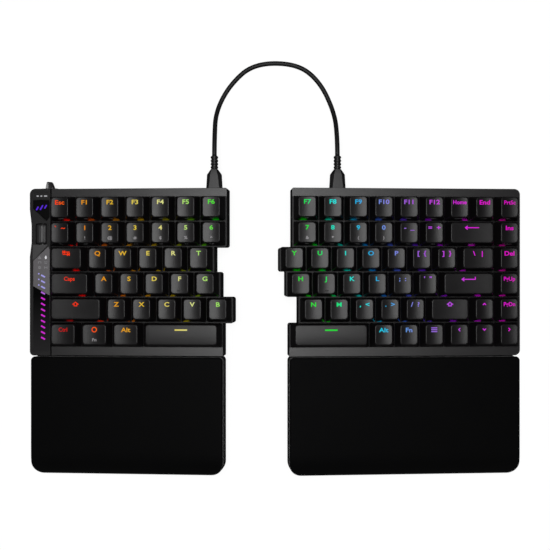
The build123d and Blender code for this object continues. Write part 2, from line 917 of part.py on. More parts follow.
left_node("left_link_port", port(left_plug_position).solids())
left_node("left_host_port", port(host_port_position).solids())
foot_places = [front_edge + foot_inset, rear_edge - foot_inset - foot_length]
left_outer_foot = foot_inset - panel_side
feet = pads(left_outer_foot, left_outer_foot + foot_width, foot_places, left_floor)
left_node("left_foot_pads", [s for p in feet for s in p.solids()])
left_node("left_cable_plug", plug(left_plug_position).solids())

# The lever: outer grip, neck through the rear wall, and a keeper inside.
grip_rear = rear_edge + lever_reach
grip_front = rear_edge + lever_collar_depth + lever_fit
low = lever_level - lever_height / 2
high = lever_level + lever_height / 2
grip_profile = [
    (-lever_offset - lever_width / 2, grip_front),
    (-lever_offset + lever_width / 2, grip_front),
    (-lever_offset + lever_width / 2 - lever_inner_taper, grip_rear),
    (-lever_offset - lever_width / 2 + lever_outer_taper, grip_rear),
]
grip = prism([(a, b, 0) for a, b in grip_profile], low, high)
neck = block(
    -lever_offset - lever_neck / 2,
    -lever_offset + lever_neck / 2,
    rear_edge - 2 * case_wall,
    grip_front,
    low,
    high,
)
keeper_low = rear_edge - 2 * case_wall - lever_fit
keeper = block(
    -lever_offset - lever_width / 2,
    -lever_offset + lever_width / 2,
    keeper_low,
    rear_edge - case_wall - lever_fit,
    low,
    high,
)
left_node("mode_switch", (grip + neck + keeper).solids())
left_node(
    "left_case_stand", stand(left_hinge, -1, case_stand_front, case_stand_rear, left_floor).solids()
)

for name, (row, places) in left_key_shares.items():
    left_node(name, key_group(row, places))

# Right half.
plate = pierced(prism(right_case_corners, plate_bottom, plate_top), right_middles)
right_node("right_top_plate", plate.solids())
case = tub(right_case_corners, right_well_corners)
case = bay(right_hinge, 1, case_stand_front, case_stand_rear, case)
case = case - port_window(right_plug_position)
right_node("right_bottom_case", case.solids())
board_corners = [(p[0], p[1], 0) for p in right_steps(board_margin + inner_rim, board_margin)]
board_outer = right_outer_share * key_pitch - board_margin / 2
board_corners = (
    [(board_outer, board_margin, 0), (board_outer, row_count * key_pitch - board_margin / 2, 0)]
    + [(right_inner_rear + inner_rim + board_margin, row_count * key_pitch - board_margin / 2, 0)]
    + board_corners
    + [(right_inner_front + inner_rim + board_margin, board_margin, 0)]
)
right_node("right_circuit_board", prism(board_corners, board_bottom, board_top).solids())
right_housings = [s for a, b in right_middles for s in (Pos(a, b, 0) * fresh(switch)).solids()]
right_node("right_switches", right_housings)
right_node("right_link_port", port(right_plug_position).solids())
right_outer_foot = right_outer - foot_inset
feet = pads(right_outer_foot - foot_width, right_outer_foot, foot_places, right_floor)
right_node("right_foot_pads", [s for p in feet for s in p.solids()])
right_node("right_cable_plug", plug(right_plug_position).solids())
right_node(
    "right_case_stand", stand(right_hinge, 1, case_stand_front, case_stand_rear, right_floor).solids()
)
for name, (row, places) in right_key_shares.items():
    right_node(name, key_group(row, places))

# Wrist rests: a hard tray under a soft pad with a crowned top, a rolled front and drawn-in sides.
rest_rear = front_edge - rest_gap


def rest_corners(low, high, inset):
    """Outline of a wrist rest between two sides."""
    return [
        (low + inset, -rest_front + inset, rest_front_radius - inset),
        (high - inset, -rest_front + inset, rest_front_radius - inset),
        (high - inset, rest_rear - inset, rest_rear_radius - inset),
        (low + inset, rest_rear - inset, rest_rear_radius - inset),
    ]


def cushion(low, high):
    """The soft pad between two sides: its plan, its long section and its cross section in one."""
    plan = prism(rest_corners(low, high, rest_inset), rest_base_height, rest_height + rest_crown)
    front = rest_inset - rest_front
    rear = rest_rear - rest_inset
    roof = front + rest_front_reach
    along = [
        (low, front, rest_base_height),
        (low, front, rest_height - rest_front_drop),
        (low, roof, rest_height),
        (low, (roof + rear) / 2, rest_height + rest_crown),
        (low, rear, rest_height),
        (low, rear, rest_base_height),
    ]
    bends = [rest_front_roll, rest_front_bend, rest_crown_radius, rest_rear_roll]
    line = FilletPolyline(*along, radius=bends)
    face = make_face(line.edges() + [Line(along[-1], along[0]).edge()])
    long_section = extrude(face, amount=high - low, dir=(1, 0, 0))
    side_low = low + rest_inset
    side_high = high - rest_inset
    upright = [
        (side_low, front, rest_base_height),
        (side_low, front, rest_height + rest_crown),
        (side_high, front, rest_height + rest_crown),
        (side_high, front, rest_base_height),
    ]
    line = FilletPolyline(*upright, radius=[rest_side_roll, rest_side_roll])
    face = make_face(line.edges() + [Line(upright[-1], upright[0]).edge()])
    cross_section = extrude(face, amount=rear - front, dir=(0, 1, 0))
    return plan & long_section & cross_section


def rest(low, high, low_overhang, high_overhang, hinge, way, floor_line, feet):
    """Tray, pad, feet and stand of one wrist rest."""
    tray = prism(rest_corners(low, high, 0), 0, rest_base_height)
    front = -rest_stand_front
    tray = bay(hinge, way, front, front + stand_width, tray)
    pad = cushion(low - low_overhang, high + high_overhang)
    places = [-rest_front + rest_front_radius, rest_rear - foot_inset - foot_length]
    foot_pads = pads(feet, feet + foot_width, places, floor_line)
    leaf = stand(hinge, way, front, front + stand_width, floor_line)
    return tray, pad, foot_pads, leaf


left_rest_hinge = left_inner_front - stand_inset / 2
right_rest_hinge = right_inner_front + stand_inset / 2
tray, pad, feet, leaf = rest(
    -panel_side, left_inner_front, rest_overhang, 0, left_rest_hinge, -1, left_floor, left_outer_foot
)
left_node("left_rest_base", tray.solids())
left_node("left_rest_pad", pad.solids())
left_node("left_rest_foot_pads", [s for p in feet for s in p.solids()])
left_node("left_rest_stand", leaf.solids())
right_rest_foot = right_outer_foot - foot_width
tray, pad, feet, leaf = rest(
    right_inner_front, right_outer, 0, rest_overhang, right_rest_hinge, 1, right_floor, right_rest_foot
)
right_node("right_rest_base", tray.solids())
right_node("right_rest_pad", pad.solids())
right_node("right_rest_foot_pads", [s for p in feet for s in p.solids()])
right_node("right_rest_stand", leaf.solids())

# Everything goes into the world, then the middle of its footprint goes to the origin.
placed = {}
for name, (half, solids) in nodes.items():
    where = left_place(0, 0, 0) if half == "left" else right_place(0, 0, 0)
    placed[name] = [where * s for s in solids]
cord_names = ("link_cable", "left_cable_plug", "right_cable_plug")
boxes = [Compound(solids).bounding_box() for name, solids in placed.items() if name not in cord_names]
shift_x = -(min(b.min.X for b in boxes) + max(b.max.X for b in boxes)) / 2
shift_y = -(min(b.min.Y for b in boxes) + max(b.max.Y for b in boxes)) / 2


def left_point(a, b, c):
    """A point of the left half in the world."""
    return (a * cosine - c * sine + shift_x, b + shift_y, a * sine + c * cosine + left_lift)


def right_point(a, b, c):
    """A point of the right half in the world."""
    x = a * cosine + c * sine + right_shift + shift_x
    return (x, b + shift_y, c * cosine - a * sine + right_lift)


# The link cable: level out of each plug, down to the desk, and round in one loop.
left_exit = left_point(left_plug_position, rear_edge + relief_end, port_level)
right_exit = right_point(right_plug_position, rear_edge + relief_end, port_level)
route = [left_exit, (left_exit[0], left_exit[1] + cable_lead, left_exit[2])]
for x_share, y_share in loop_shares:
    x = left_exit[0] + x_share * (right_exit[0] - left_exit[0])
    route.append((x, left_exit[1] + y_share * loop_reach, cable_radius))
route += [(right_exit[0], right_exit[1] + cable_lead, right_exit[2]), right_exit]
radii = []
for before, here, after in zip(route, route[1:], route[2:]):
    first = Vector(*here) - Vector(*before)
    second = Vector(*after) - Vector(*here)
    half_turn = math.radians(first.get_angle(second)) / 2
    radii.append(corner_share * min(first.length, second.length) / math.tan(half_turn))
path = FilletPolyline(*route, radius=radii)
cable_start = Plane(origin=route[0], z_dir=(0, 1, 0)) * RegularPolygon(cable_radius, small_round_sides)
cable = sweep(cable_start, path=path)
length = sum(e.length for e in path.edges())
section = cable_start.area
print("cable length", round(length, 1), "volume share", round(cable.volume / (section * length), 4))
print("cable radii in diameters", [round(r / cable_radius / 2, 1) for r in radii])

for name, solids in placed.items():
    moved = [Pos(shift_x, shift_y, 0) * s for s in solids]
    shape = moved[0] if len(moved) == 1 else Compound(moved)
    export_step(shape, "parts/" + name + ".step")
export_step(cable.solids()[0], "parts/link_cable.step")


def tell(name, point):
    """Prints a position for the record."""
    print(name, [round(v, 4) for v in point])


tell("left origin", left_point(0, 0, 0))
tell("right origin", right_point(0, 0, 0))
tell("left key normal", (-sine, 0, cosine))
tell("right key normal", (sine, 0, cosine))
tell("left case hinge", left_point(left_hinge, case_stand_front + stand_width / 2, stand_level))
tell("right case hinge", right_point(right_hinge, case_stand_front + stand_width / 2, stand_level))
tell("left rest hinge", left_point(left_rest_hinge, stand_width / 2 - rest_stand_front, stand_level))
tell("right rest hinge", right_point(right_rest_hinge, stand_width / 2 - rest_stand_front, stand_level))
tell("wheel axis", left_point(wheel_a, wheel_middle, wheel_c))
tell("mode switch", left_point(-lever_offset, rear_edge, lever_level))
tell("spread range", (-spread_in, spread_out))
tell("left outer foot", left_point(left_outer_foot + foot_width / 2, foot_places[0], 0))
tell("left exit", left_exit)
tell("right exit", right_exit)
for i in range(len(route)):
    tell("route " + str(i), route[i])
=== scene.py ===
import bpy
import bmesh
import math
from mathutils import Matrix, Vector


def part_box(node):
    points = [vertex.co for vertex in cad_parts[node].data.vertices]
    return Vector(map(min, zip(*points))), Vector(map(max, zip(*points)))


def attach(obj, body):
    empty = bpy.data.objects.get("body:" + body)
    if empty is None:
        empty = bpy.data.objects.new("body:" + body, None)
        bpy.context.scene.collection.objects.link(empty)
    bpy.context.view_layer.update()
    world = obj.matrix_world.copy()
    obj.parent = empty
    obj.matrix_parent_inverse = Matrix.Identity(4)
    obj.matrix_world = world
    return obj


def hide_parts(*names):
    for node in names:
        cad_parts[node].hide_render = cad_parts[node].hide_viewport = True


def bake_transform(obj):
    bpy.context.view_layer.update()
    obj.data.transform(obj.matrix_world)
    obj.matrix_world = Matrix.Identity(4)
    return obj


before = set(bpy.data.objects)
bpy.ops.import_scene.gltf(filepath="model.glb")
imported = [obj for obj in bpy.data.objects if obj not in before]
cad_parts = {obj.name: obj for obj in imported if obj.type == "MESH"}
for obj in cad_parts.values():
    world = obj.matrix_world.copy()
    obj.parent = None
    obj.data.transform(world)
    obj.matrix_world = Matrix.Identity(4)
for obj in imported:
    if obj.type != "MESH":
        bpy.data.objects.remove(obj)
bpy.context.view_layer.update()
scene = bpy.context.scene

# Driving sizes of the keyboard, in millimetres and degrees, in the frame of each half: a to the right,
# b to the back, c square to the plate.
MM = 0.001
TENT = 4.0
PITCH = 19.05
ROWS = 6
PLATE_TOP = 18.0
PLATE_THICKNESS = 1.5
PANEL_TOP = 20.0
PANEL_JOINT = 0.8
RIM_LEVEL = 21.8
REAR_STRIP = 6.1
FRONT_STRIP = 6.6
PANEL_SIDE = 16.9
RIGHT_COLUMNS = 9
RIGHT_MARGIN = 2.6
RIGHT_SIDE = RIGHT_COLUMNS * PITCH + RIGHT_MARGIN
REAR_EDGE = ROWS * PITCH + REAR_STRIP
FRONT_EDGE = -FRONT_STRIP
SINE = math.sin(math.radians(TENT))
COSINE = math.cos(math.radians(TENT))


def half_frame(origin, angle):
    """From a half's own millimetres to the row frame in metres."""
    return Matrix.Translation(origin) @ Matrix.Rotation(math.radians(angle), 4, "Y") @ Matrix.Scale(MM, 4)


def left_origin():
    """The left half's zero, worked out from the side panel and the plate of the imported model."""
    panel_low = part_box("left_side_panel")[0]
    plate_low, plate_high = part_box("left_top_plate")
    x = panel_low.x + (PANEL_SIDE * COSINE + PANEL_TOP * SINE) * MM
    z = plate_low.z - ((PLATE_TOP - PLATE_THICKNESS) * COSINE - PANEL_JOINT * SINE) * MM
    return Vector((x, plate_high.y - REAR_EDGE * MM, z))


def right_origin():
    """The right half's zero, worked out from its plate."""
    low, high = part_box("right_top_plate")
    x = high.x - (RIGHT_SIDE * COSINE + PLATE_TOP * SINE) * MM
    z = low.z + (RIGHT_SIDE * SINE - (PLATE_TOP - PLATE_THICKNESS) * COSINE) * MM
    return Vector((x, high.y - REAR_EDGE * MM, z))


LEFT = half_frame(left_origin(), -TENT)
RIGHT = half_frame(right_origin(), TENT)
SIDES = (("left", LEFT), ("right", RIGHT))

# How near points count as one and as on a cut, in metres.
SAME_POINT = 1e-6
ON_CUT = 1e-7

# Edges flatter than the first angle are taken out, those sharper than the second are rounded, and those
# sharper than the third stay sharp in the shading, where flat faces have this weight.
FLAT_ANGLE = 1.5
EDGE_ANGLE = 30.0
SHARP_ANGLE = 38.0
FLAT_WEIGHT = 90


# Making pieces.
def linked(name, data):
    """A new object in the scene."""
    made = bpy.data.objects.new(name, data)
    scene.collection.objects.link(made)
    return made


def removed(piece):
    """Takes an object and its data away."""
    data = piece.data
    bpy.data.objects.remove(piece)
    kept_in = bpy.data.meshes if isinstance(data, bpy.types.Mesh) else bpy.data.curves
    kept_in.remove(data)


def as_mesh(piece):
    """A plain mesh of an object with its modifiers."""
    bpy.context.view_layer.update()
    return bpy.data.meshes.new_from_object(piece.evaluated_get(bpy.context.evaluated_depsgraph_get()))


def baked(piece):
    """The piece with its modifiers turned into plain mesh."""
    name, data = piece.name, as_mesh(piece)
    removed(piece)
    data.name = name
    return linked(name, data)


def mended(data, merge=None, flatten=None, outwards=False):
    """Merges a mesh's doubles, takes out its flat edges and turns its faces outwards, as asked."""
    work = bmesh.new()
    work.from_mesh(data)
    if merge is not None:
        bmesh.ops.remove_doubles(work, verts=work.verts, dist=merge)
    if flatten is not None:
        bmesh.ops.dissolve_limit(work, angle_limit=math.radians(flatten), verts=work.verts, edges=work.edges)
    if outwards:
        bmesh.ops.recalc_face_normals(work, faces=work.faces)
    work.to_mesh(data)
    work.free()


def cut_across(data, place, b, clear_rear=False):
    """Splits a mesh's faces across its depth at a local b; clear_rear takes away all that is behind it."""
    work = bmesh.new()
    work.from_mesh(data)
    point, ahead = place @ Vector((0.0, b, 0.0)), place @ Vector((0.0, b + 1.0, 0.0))
    bmesh.ops.bisect_plane(
        work, geom=work.verts[:] + work.edges[:] + work.faces[:], dist=ON_CUT,
        plane_co=point, plane_no=(ahead - point).normalized(), clear_outer=clear_rear,
    )
    if clear_rear:
        bmesh.ops.holes_fill(work, edges=[edge for edge in work.edges if edge.is_boundary])
    work.to_mesh(data)
    work.free()


def flat_kept(piece):
    """Smooth shading whose flat faces stay flat beside their rounded edges."""
    piece.data.shade_smooth()
    piece.modifiers.new("normals", "WEIGHTED_NORMAL").weight = FLAT_WEIGHT
    return baked(piece)


def bevelled(piece, radius, segments=2, angle=EDGE_ANGLE):
    """Rounds a piece's edges; radius in millimetres."""
    modifier = piece.modifiers.new("rounding", "BEVEL")
    modifier.width = radius * MM
    modifier.segments = segments
    modifier.limit_method = "ANGLE"
    modifier.angle_limit = math.radians(angle)
    return flat_kept(piece)


def softened(node, name, radius, segments=2, place=None, cuts=()):
    """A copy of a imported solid, merged and with rounded edges; cuts split its faces across its depth."""
    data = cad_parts[node].data.copy()
    data.name = name
    mended(data, merge=SAME_POINT, flatten=FLAT_ANGLE)
    for b in cuts:
        cut_across(data, place, b)
    return bevelled(linked(name, data), radius, segments)


def coat(piece, material):
    """Gives a whole piece one material."""
    piece.data.materials.clear()
    piece.data.materials.append(material)


def coat_partly(piece, material, place, chosen):
    """Gives some faces another material; chosen says which, by their local middle and facing."""
    inverse = place.inverted()
    slot = len(piece.data.materials)
    piece.data.materials.append(material)
    for face in piece.data.polygons:
        if chosen(inverse @ face.center, (inverse.to_3x3() @ face.normal).normalized()):
            face.material_index = slot


def settle(piece, body, replaced=(), angle=SHARP_ANGLE):
    """Shading and body of a piece that has its materials, with the imported parts it replaces hidden."""
    if not piece.data.has_custom_normals:
        piece.data.shade_smooth()
        piece.data.set_sharp_from_angle(angle=math.radians(angle))
    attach(piece, body)
    if replaced:
        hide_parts(*replaced)


def dress(piece, material, body, replaced):
    """Material, shading and body of one finished piece, with the parts it replaces hidden."""
    coat(piece, material)
    settle(piece, body, replaced)


def joined(name, pieces):
    """Several mesh objects as one, keeping their materials."""
    slots = []
    work = bmesh.new()
    for piece in pieces:
        slots += [material for material in piece.data.materials if material not in slots]
        first = len(work.faces)
        work.from_mesh(piece.data)
        work.faces.ensure_lookup_table()
        for face in work.faces[first:]:
            face.material_index = slots.index(piece.data.materials[face.material_index])
    data = bpy.data.meshes.new(name)
    work.to_mesh(data)
    work.free()
    for material in slots:
        data.materials.append(material)
    for piece in pieces:
        removed(piece)
    return linked(name, data)


def together(shapes):
    """Several shapes' vertices and faces as one."""
    points, faces = [], []
    for more_points, more_faces in shapes:
        first = len(points)
        points += more_points
        faces += [[first + i for i in face] for face in more_faces]
    return points, faces


def mesh_of(name, parts, place):
    """One piece at the origin, from parts of vertices, faces and a material, put in place by a matrix."""
    points, faces = together([(vertices, polygons) for vertices, polygons, material in parts])
    data = bpy.data.meshes.new(name)
    data.from_pydata([place @ Vector(point) for point in points], [], faces)
    data.update()
    slots, indices = [], []
    for vertices, polygons, material in parts:
        if material not in slots:
            slots.append(material)
            data.materials.append(material)
        indices += [slots.index(material)] * len(polygons)
    data.polygons.foreach_set("material_index", indices)
    return linked(name, data)


def moved(points, a, b, c):
    """Points shifted in a half's frame."""
    return [(x + a, y + b, z + c) for x, y, z in points]


def between(start, end, share):
    """A point part of the way from one to another."""
    return (start[0] + (end[0] - start[0]) * share, start[1] + (end[1] - start[1]) * share)


def rounded_rectangle(a_low, a_high, b_low, b_high, radii, corner_steps=4, side_steps=6):
    """Points round a rectangle with one radius or four, anticlockwise from the front right corner."""
    if isinstance(radii, float):
        radii = (radii,) * 4
    corners = ((a_high, b_low, -1, 1), (a_high, b_high, -1, -1), (a_low, b_high, 1, -1), (a_low, b_low, 1, 1))
    arcs = []
    for i, ((a, b, inward_a, inward_b), radius) in enumerate(zip(corners, radii)):
        middle_a, middle_b = a + inward_a * radius, b + inward_b * radius
        arc = []
        for k in range(corner_steps + 1):
            turn = math.radians(90.0 * (i - 1 + k / corner_steps))
            arc.append((middle_a + radius * math.cos(turn), middle_b + radius * math.sin(turn)))
        arcs.append(arc)
    points = []
    for arc, following in zip(arcs, arcs[1:] + arcs[:1]):
        points += arc + [between(arc[-1], following[0], k / side_steps) for k in range(1, side_steps)]
    return points


def lofted(rings):
    """Vertices and faces through rings of equally many points, closed at both ends."""
    count = len(rings[0])
    vertices = [point for ring in rings for point in ring]
    faces = [list(range(count))[::-1]]
    for r in range(len(rings) - 1):
        for i in range(count):
            j = (i + 1) % count
            faces.append([r * count + i, r * count + j, (r + 1) * count + j, (r + 1) * count + i])
    faces.append([(len(rings) - 1) * count + i for i in range(count)])
    return vertices, faces


def plate_of(points, low, high):
    """Vertices and faces of a flat outline given thickness."""
    return lofted([[(a, b, level) for a, b in points] for level in (low, high)])


# Node trees.
def group(name, kind, inputs, outputs):
    """An empty node group with named sockets: its tree, what comes in and what goes out."""
    tree = bpy.data.node_groups.new(name, kind)
    for label, socket, value in inputs:
        made = tree.interface.new_socket(name=label, in_out="INPUT", socket_type=socket)
        if value is not None:
            made.default_value = value
    for label, socket in outputs:
        tree.interface.new_socket(name=label, in_out="OUTPUT", socket_type=socket)
    return tree, tree.nodes.new("NodeGroupInput").outputs, tree.nodes.new("NodeGroupOutput")


def feed(tree, node, inputs):
    """Gives a node's inputs their values, or links them to other nodes' sockets."""
    for label, value in inputs.items():
        if isinstance(value, bpy.types.NodeSocket):
            tree.links.new(value, node.inputs[label])
        else:
            node.inputs[label].default_value = value


def chained(tree, kind, inputs, **settings):
    """A new node with its settings and inputs."""
    node = tree.nodes.new(kind)
    for label, value in settings.items():
        setattr(node, label, value)
    feed(tree, node, inputs)
    return node


def maths(tree, operation, *values):
    """One maths node; a number or a socket goes into each input."""
    return chained(tree, "ShaderNodeMath", dict(enumerate(values)), operation=operation).outputs[0]


def noise(tree, scale, detail):
    """A noise texture's value on a piece."""
    inputs = {"Scale": scale, "Detail": detail, "Vector": place_on_piece(tree)}
    return chained(tree, "ShaderNodeTexNoise", inputs).outputs[0]


def place_on_piece(tree):
    """The coordinates of a piece itself."""
    return tree.nodes.new("ShaderNodeTexCoord").outputs["Object"]


def separated(tree, vector):
    """The three parts of a vector."""
    return chained(tree, "ShaderNodeSeparateXYZ", {0: vector}).outputs


# Materials.
FINE_DETAIL = 3.0
SLOW_SCALE = 60.0
SLOW_DETAIL = 4.0
FINE_IN_TONE = 0.6
BUMP_STRENGTH = 0.4


def moulded_grain_group():
    """Fine texture of a moulded surface, with slow changes of sheen and tone."""
    tree, given, end = group(
        "moulded grain", "ShaderNodeTree",
        [
            ("Colour", "NodeSocketColor", (0.02, 0.02, 0.02, 1.0)),
            ("Grain per metre", "NodeSocketFloat", 3500.0),
            ("Roughness", "NodeSocketFloat", 0.45),
            ("Sheen change", "NodeSocketFloat", 0.08),
            ("Tone change", "NodeSocketFloat", 0.15),
        ],
        [("Colour", "NodeSocketColor"), ("Roughness", "NodeSocketFloat"), ("Height", "NodeSocketFloat")],
    )
    fine = noise(tree, given["Grain per metre"], FINE_DETAIL)
    slow = maths(tree, "SUBTRACT", noise(tree, SLOW_SCALE, SLOW_DETAIL), 0.5)
    rough = maths(tree, "MULTIPLY_ADD", slow, given["Sheen change"], given["Roughness"])
    mottled = maths(tree, "MULTIPLY_ADD", maths(tree, "SUBTRACT", fine, 0.5), FINE_IN_TONE, slow)
    tone = maths(tree, "MULTIPLY_ADD", mottled, given["Tone change"], 1.0)
    toned = chained(tree, "ShaderNodeVectorMath", {0: given["Colour"], "Scale": tone}, operation="SCALE")
    feed(tree, end, {"Colour": toned.outputs[0], "Roughness": rough, "Height": fine})
    return tree


def new_material(name):
    """A material with its node tree and its shader."""
    material = bpy.data.materials.new(name)
    material.use_nodes = True
    return material, material.node_tree, shader_of(material)


def shader_of(material):
    """A material's own shader."""
    return material.node_tree.nodes["Principled BSDF"]


def moulded(
    name, colour, roughness, specular, grain=3500.0, depth=0.00002, sheen=0.08, tone=0.15, metallic=0.0
):
    """A moulded plastic, rubber or metal finish."""
    material, tree, shader = new_material(name)
    inputs = {
        "Colour": (*colour, 1.0), "Grain per metre": grain, "Roughness": roughness,
        "Sheen change": sheen, "Tone change": tone,
    }
    grained = chained(tree, "ShaderNodeGroup", inputs, node_tree=GRAIN).outputs
    bump = chained(
        tree, "ShaderNodeBump", {"Strength": BUMP_STRENGTH, "Distance": depth, "Height": grained["Height"]}
    )
    feed(tree, shader, {
        "Base Color": grained["Colour"], "Roughness": grained["Roughness"], "Normal": bump.outputs["Normal"],
        "Specular IOR Level": specular, "Metallic": metallic,
    })
    return material


# Colours of the lighting, by the place in millimetres along a slanting line from left to right.
LIGHT_SLANT = 0.27
LIGHT_REAR = 95.0
SCREEN_GAMMA = 2.2
LIGHT_STOPS = [
    (-185, (0.7, 0.0, 0.0)),  # red
    (-165, (0.9, 0.2, 0.0)),  # orange red
    (-145, (0.8, 0.5, 0.0)),  # orange
    (-110, (0.8, 0.7, 0.2)),  # yellow
    (-85, (0.8, 0.8, 0.5)),  # pale yellow
    (-50, (0.3, 0.8, 0.2)),  # leaf green
    (20, (0.1, 0.8, 0.2)),  # green
    (45, (0.1, 0.8, 0.8)),  # cyan
    (60, (0.1, 0.6, 0.8)),  # azure
    (100, (0.6, 0.3, 0.8)),  # violet
    (140, (0.8, 0.1, 0.8)),  # magenta
    (160, (0.8, 0.0, 0.7)),  # pink
]


def across_colour(tree, deep):
    """A colour that changes with the place along the keyboard; deep makes it purer."""
    place = separated(tree, place_on_piece(tree))
    low, high = LIGHT_STOPS[0][0], LIGHT_STOPS[-1][0]
    forward = maths(tree, "SUBTRACT", place["Y"], LIGHT_REAR * MM)
    along = maths(tree, "MULTIPLY_ADD", forward, LIGHT_SLANT, place["X"])
    share = maths(tree, "MULTIPLY_ADD", along, 1 / ((high - low) * MM), -low / (high - low))
    ramp = chained(tree, "ShaderNodeValToRGB", {"Fac": share})
    stops = ramp.color_ramp.elements
    while len(stops) < len(LIGHT_STOPS):
        stops.new(1.0)
    for stop, (position, colour) in zip(stops, LIGHT_STOPS):
        linear = [v ** SCREEN_GAMMA for v in colour]
        least = min(linear) * deep
        stop.position = (position - low) / (high - low)
        stop.color = (*[max(v - least, 0.0) ** (1 + deep) for v in linear], 1.0)
    return ramp.outputs["Color"]


UNLIT_COLOUR = (0.004, 0.004, 0.004, 1.0)
LIT_ROUGHNESS = 0.5
LIT_SPECULAR = 0.03


def lit(name, strength, deep=0.0, colour=None):
    """A lit legend, lens or bar; without its own colour it takes the one of its place."""
    material, tree, shader = new_material(name)
    feed(tree, shader, {
        "Base Color": UNLIT_COLOUR, "Roughness": LIT_ROUGHNESS, "Specular IOR Level": LIT_SPECULAR,
        "Emission Strength": strength,
        "Emission Color": across_colour(tree, deep) if colour is None else (*colour, 1.0),
    })
    return material


# Finishes: name, colour, roughness and specular level, then the grain per metre and its depth in metres,
# the changes of sheen and of tone, and how metallic it is.
GRAIN = moulded_grain_group()
CAP_PLASTIC = moulded("keycap plastic", (0.0040, 0.0035, 0.0039), 0.35, 0.17, 4200.0, 0.00003)
PLATE_METAL = moulded(
    "dark anodised plate", (0.0050, 0.0045, 0.0049), 0.36, 0.28, 6000.0, 0.00002, 0.06, 0.12
)
# Painted shade: a darker, duller copy of the plate metal for the bars between the keys, where the caps shadow
# them.
PAINTED_SHADE_BAR_METAL = moulded("plate metal, painted shade between keys", (0.0040, 0.0036, 0.0039), 0.42, 0.12, 6000.0, 0.00002, 0.04, 0.12)
CASE_PLASTIC = moulded("case plastic", (0.0060, 0.0056, 0.0060), 0.50, 0.20, 2600.0, 0.00004)
PANEL_PLASTIC = moulded("side panel plastic", (0.0036, 0.0033, 0.0035), 0.42, 0.17, 4200.0, 0.00003)
# Painted sheen: a paler, shinier copy of the side panel plastic for the wheel frame in front of the wheel.
PAINTED_SHEEN_PANEL_PLASTIC = moulded("side panel plastic, painted sheen", (0.0060, 0.0055, 0.0060), 0.42, 0.50, 4200.0, 0.00003)
# Painted reflection: the upper light guide is pale grey where the glossy panel shows a diagonal highlight.
PAINTED_REFLECTION_GUIDE = moulded(
    "light guide, painted reflection", (0.070, 0.065, 0.070), 0.42, 0.40, 900.0, 0.00001, 0.03, 0.05
)
# Black plastic; its paling towards the front is painted sheen.
GUIDE_BLACK = moulded(
    "light guide, black with painted sheen", (0.0020, 0.0019, 0.0020), 0.42, 0.02, 900.0, 0.00001, 0.03, 0.05
)
BADGE_GLOSS = moulded("glossy badge", (0.0022, 0.0020, 0.0022), 0.34, 0.03, 700.0, 0.00001, 0.03, 0.05)
# Painted highlight: a bright metal put on the lever's upward faces.
PAINTED_HIGHLIGHT_METAL = moulded("lever metal, painted highlight", (0.25, 0.24, 0.25), 0.34, 0.5, 3000.0, 0.00001, 0.0, 0.10, 1.0)
LEVER_GLOSS = moulded("lever gloss", (0.012, 0.011, 0.012), 0.30, 0.35, 700.0, 0.00001, 0.03, 0.05)
WHEEL_RUBBER = moulded("wheel rubber", (0.012, 0.0115, 0.012), 0.42, 0.35, 3000.0, 0.00003)
FOOT_RUBBER = moulded("foot rubber", (0.015, 0.015, 0.015), 0.80, 0.20, 2000.0, 0.00006)
PAD_SKIN = moulded("wrist pad skin", (0.0012, 0.0012, 0.0013), 0.50, 0.015, 2400.0, 0.00008, 0.10, 0.30)
REST_PLASTIC = moulded("wrist rest tray", (0.0040, 0.0040, 0.0042), 0.60, 0.08, 2600.0, 0.00004)
CABLE_JACKET = moulded("cable jacket", (0.0060, 0.0060, 0.0064), 0.50, 0.18, 2600.0, 0.00003)
PLUG_PLASTIC = moulded("plug overmould", (0.0060, 0.0057, 0.0060), 0.42, 0.25, 2600.0, 0.00004)
BRIGHT_STEEL = moulded("bright steel", (0.55, 0.54, 0.52), 0.28, 0.5, 2000.0, 0.00001, 0.10, 0.08, 1.0)
DARK_STEEL = moulded("blackened steel", (0.05, 0.05, 0.05), 0.35, 0.5, 2000.0, 0.00001, 0.10, 0.08, 1.0)
BOARD_RESIST = moulded("circuit board", (0.006, 0.030, 0.014), 0.35, 0.5, 1500.0, 0.00003)
BATTERY_WRAP = moulded("battery wrap", (0.35, 0.36, 0.38), 0.30, 0.5, 900.0, 0.00005, 0.1, 0.1, 0.8)
SECOND_PRINT = moulded("grey print", (0.24, 0.23, 0.24), 0.5, 0.3, 3000.0, 0.00001)
FRONT_PRINT = moulded("faint print", (0.10, 0.10, 0.10), 0.5, 0.3, 3000.0, 0.00001)
feed(PAD_SKIN.node_tree, shader_of(PAD_SKIN), {"Sheen Weight": 0.10, "Sheen Roughness": 0.45})

# Lights: name, strength and colour.
MARK_WHITE = (0.85, 0.85, 0.88)
LEGEND_LIGHT = lit("lit legends", 1.15)
STRIPE_LIGHT = lit("lit stripes", 1.0, colour=(0.62, 0.02, 0.61))
STRIPE_MIDDLE_LIGHT = lit("lit middle stripe", 1.0, colour=(0.42, 0.12, 0.66))
STRIPE_COOL_LIGHT = lit("lit cool stripes", 1.0, colour=(0.33, 0.31, 0.72))
EMBLEM_LIGHT = lit("lit emblem", 1.0, colour=(0.09, 0.02, 0.62))
MARK_LIGHT = lit("lit marks", 0.45, colour=MARK_WHITE)
ICON_BRIGHT_LIGHT = lit("lit icon", 0.85, colour=MARK_WHITE)
ICON_LIGHT = lit("dim icons", 0.22, colour=MARK_WHITE)
LENS_SEEN = 0.6
LENS_THROWN = 5.0
SWITCH_GLOW = 0.10

# The black light guide turns from dark to pale between these two places of the left half, b in millimetres: a
# painted sheen.
GUIDE_FADE_REAR = 40.0
GUIDE_FADE_FRONT = -2.0
GUIDE_DARK = (0.0002, 0.0002, 0.0002, 1.0)
GUIDE_PAINTED_SHEEN = (0.0150, 0.0145, 0.0150, 1.0)


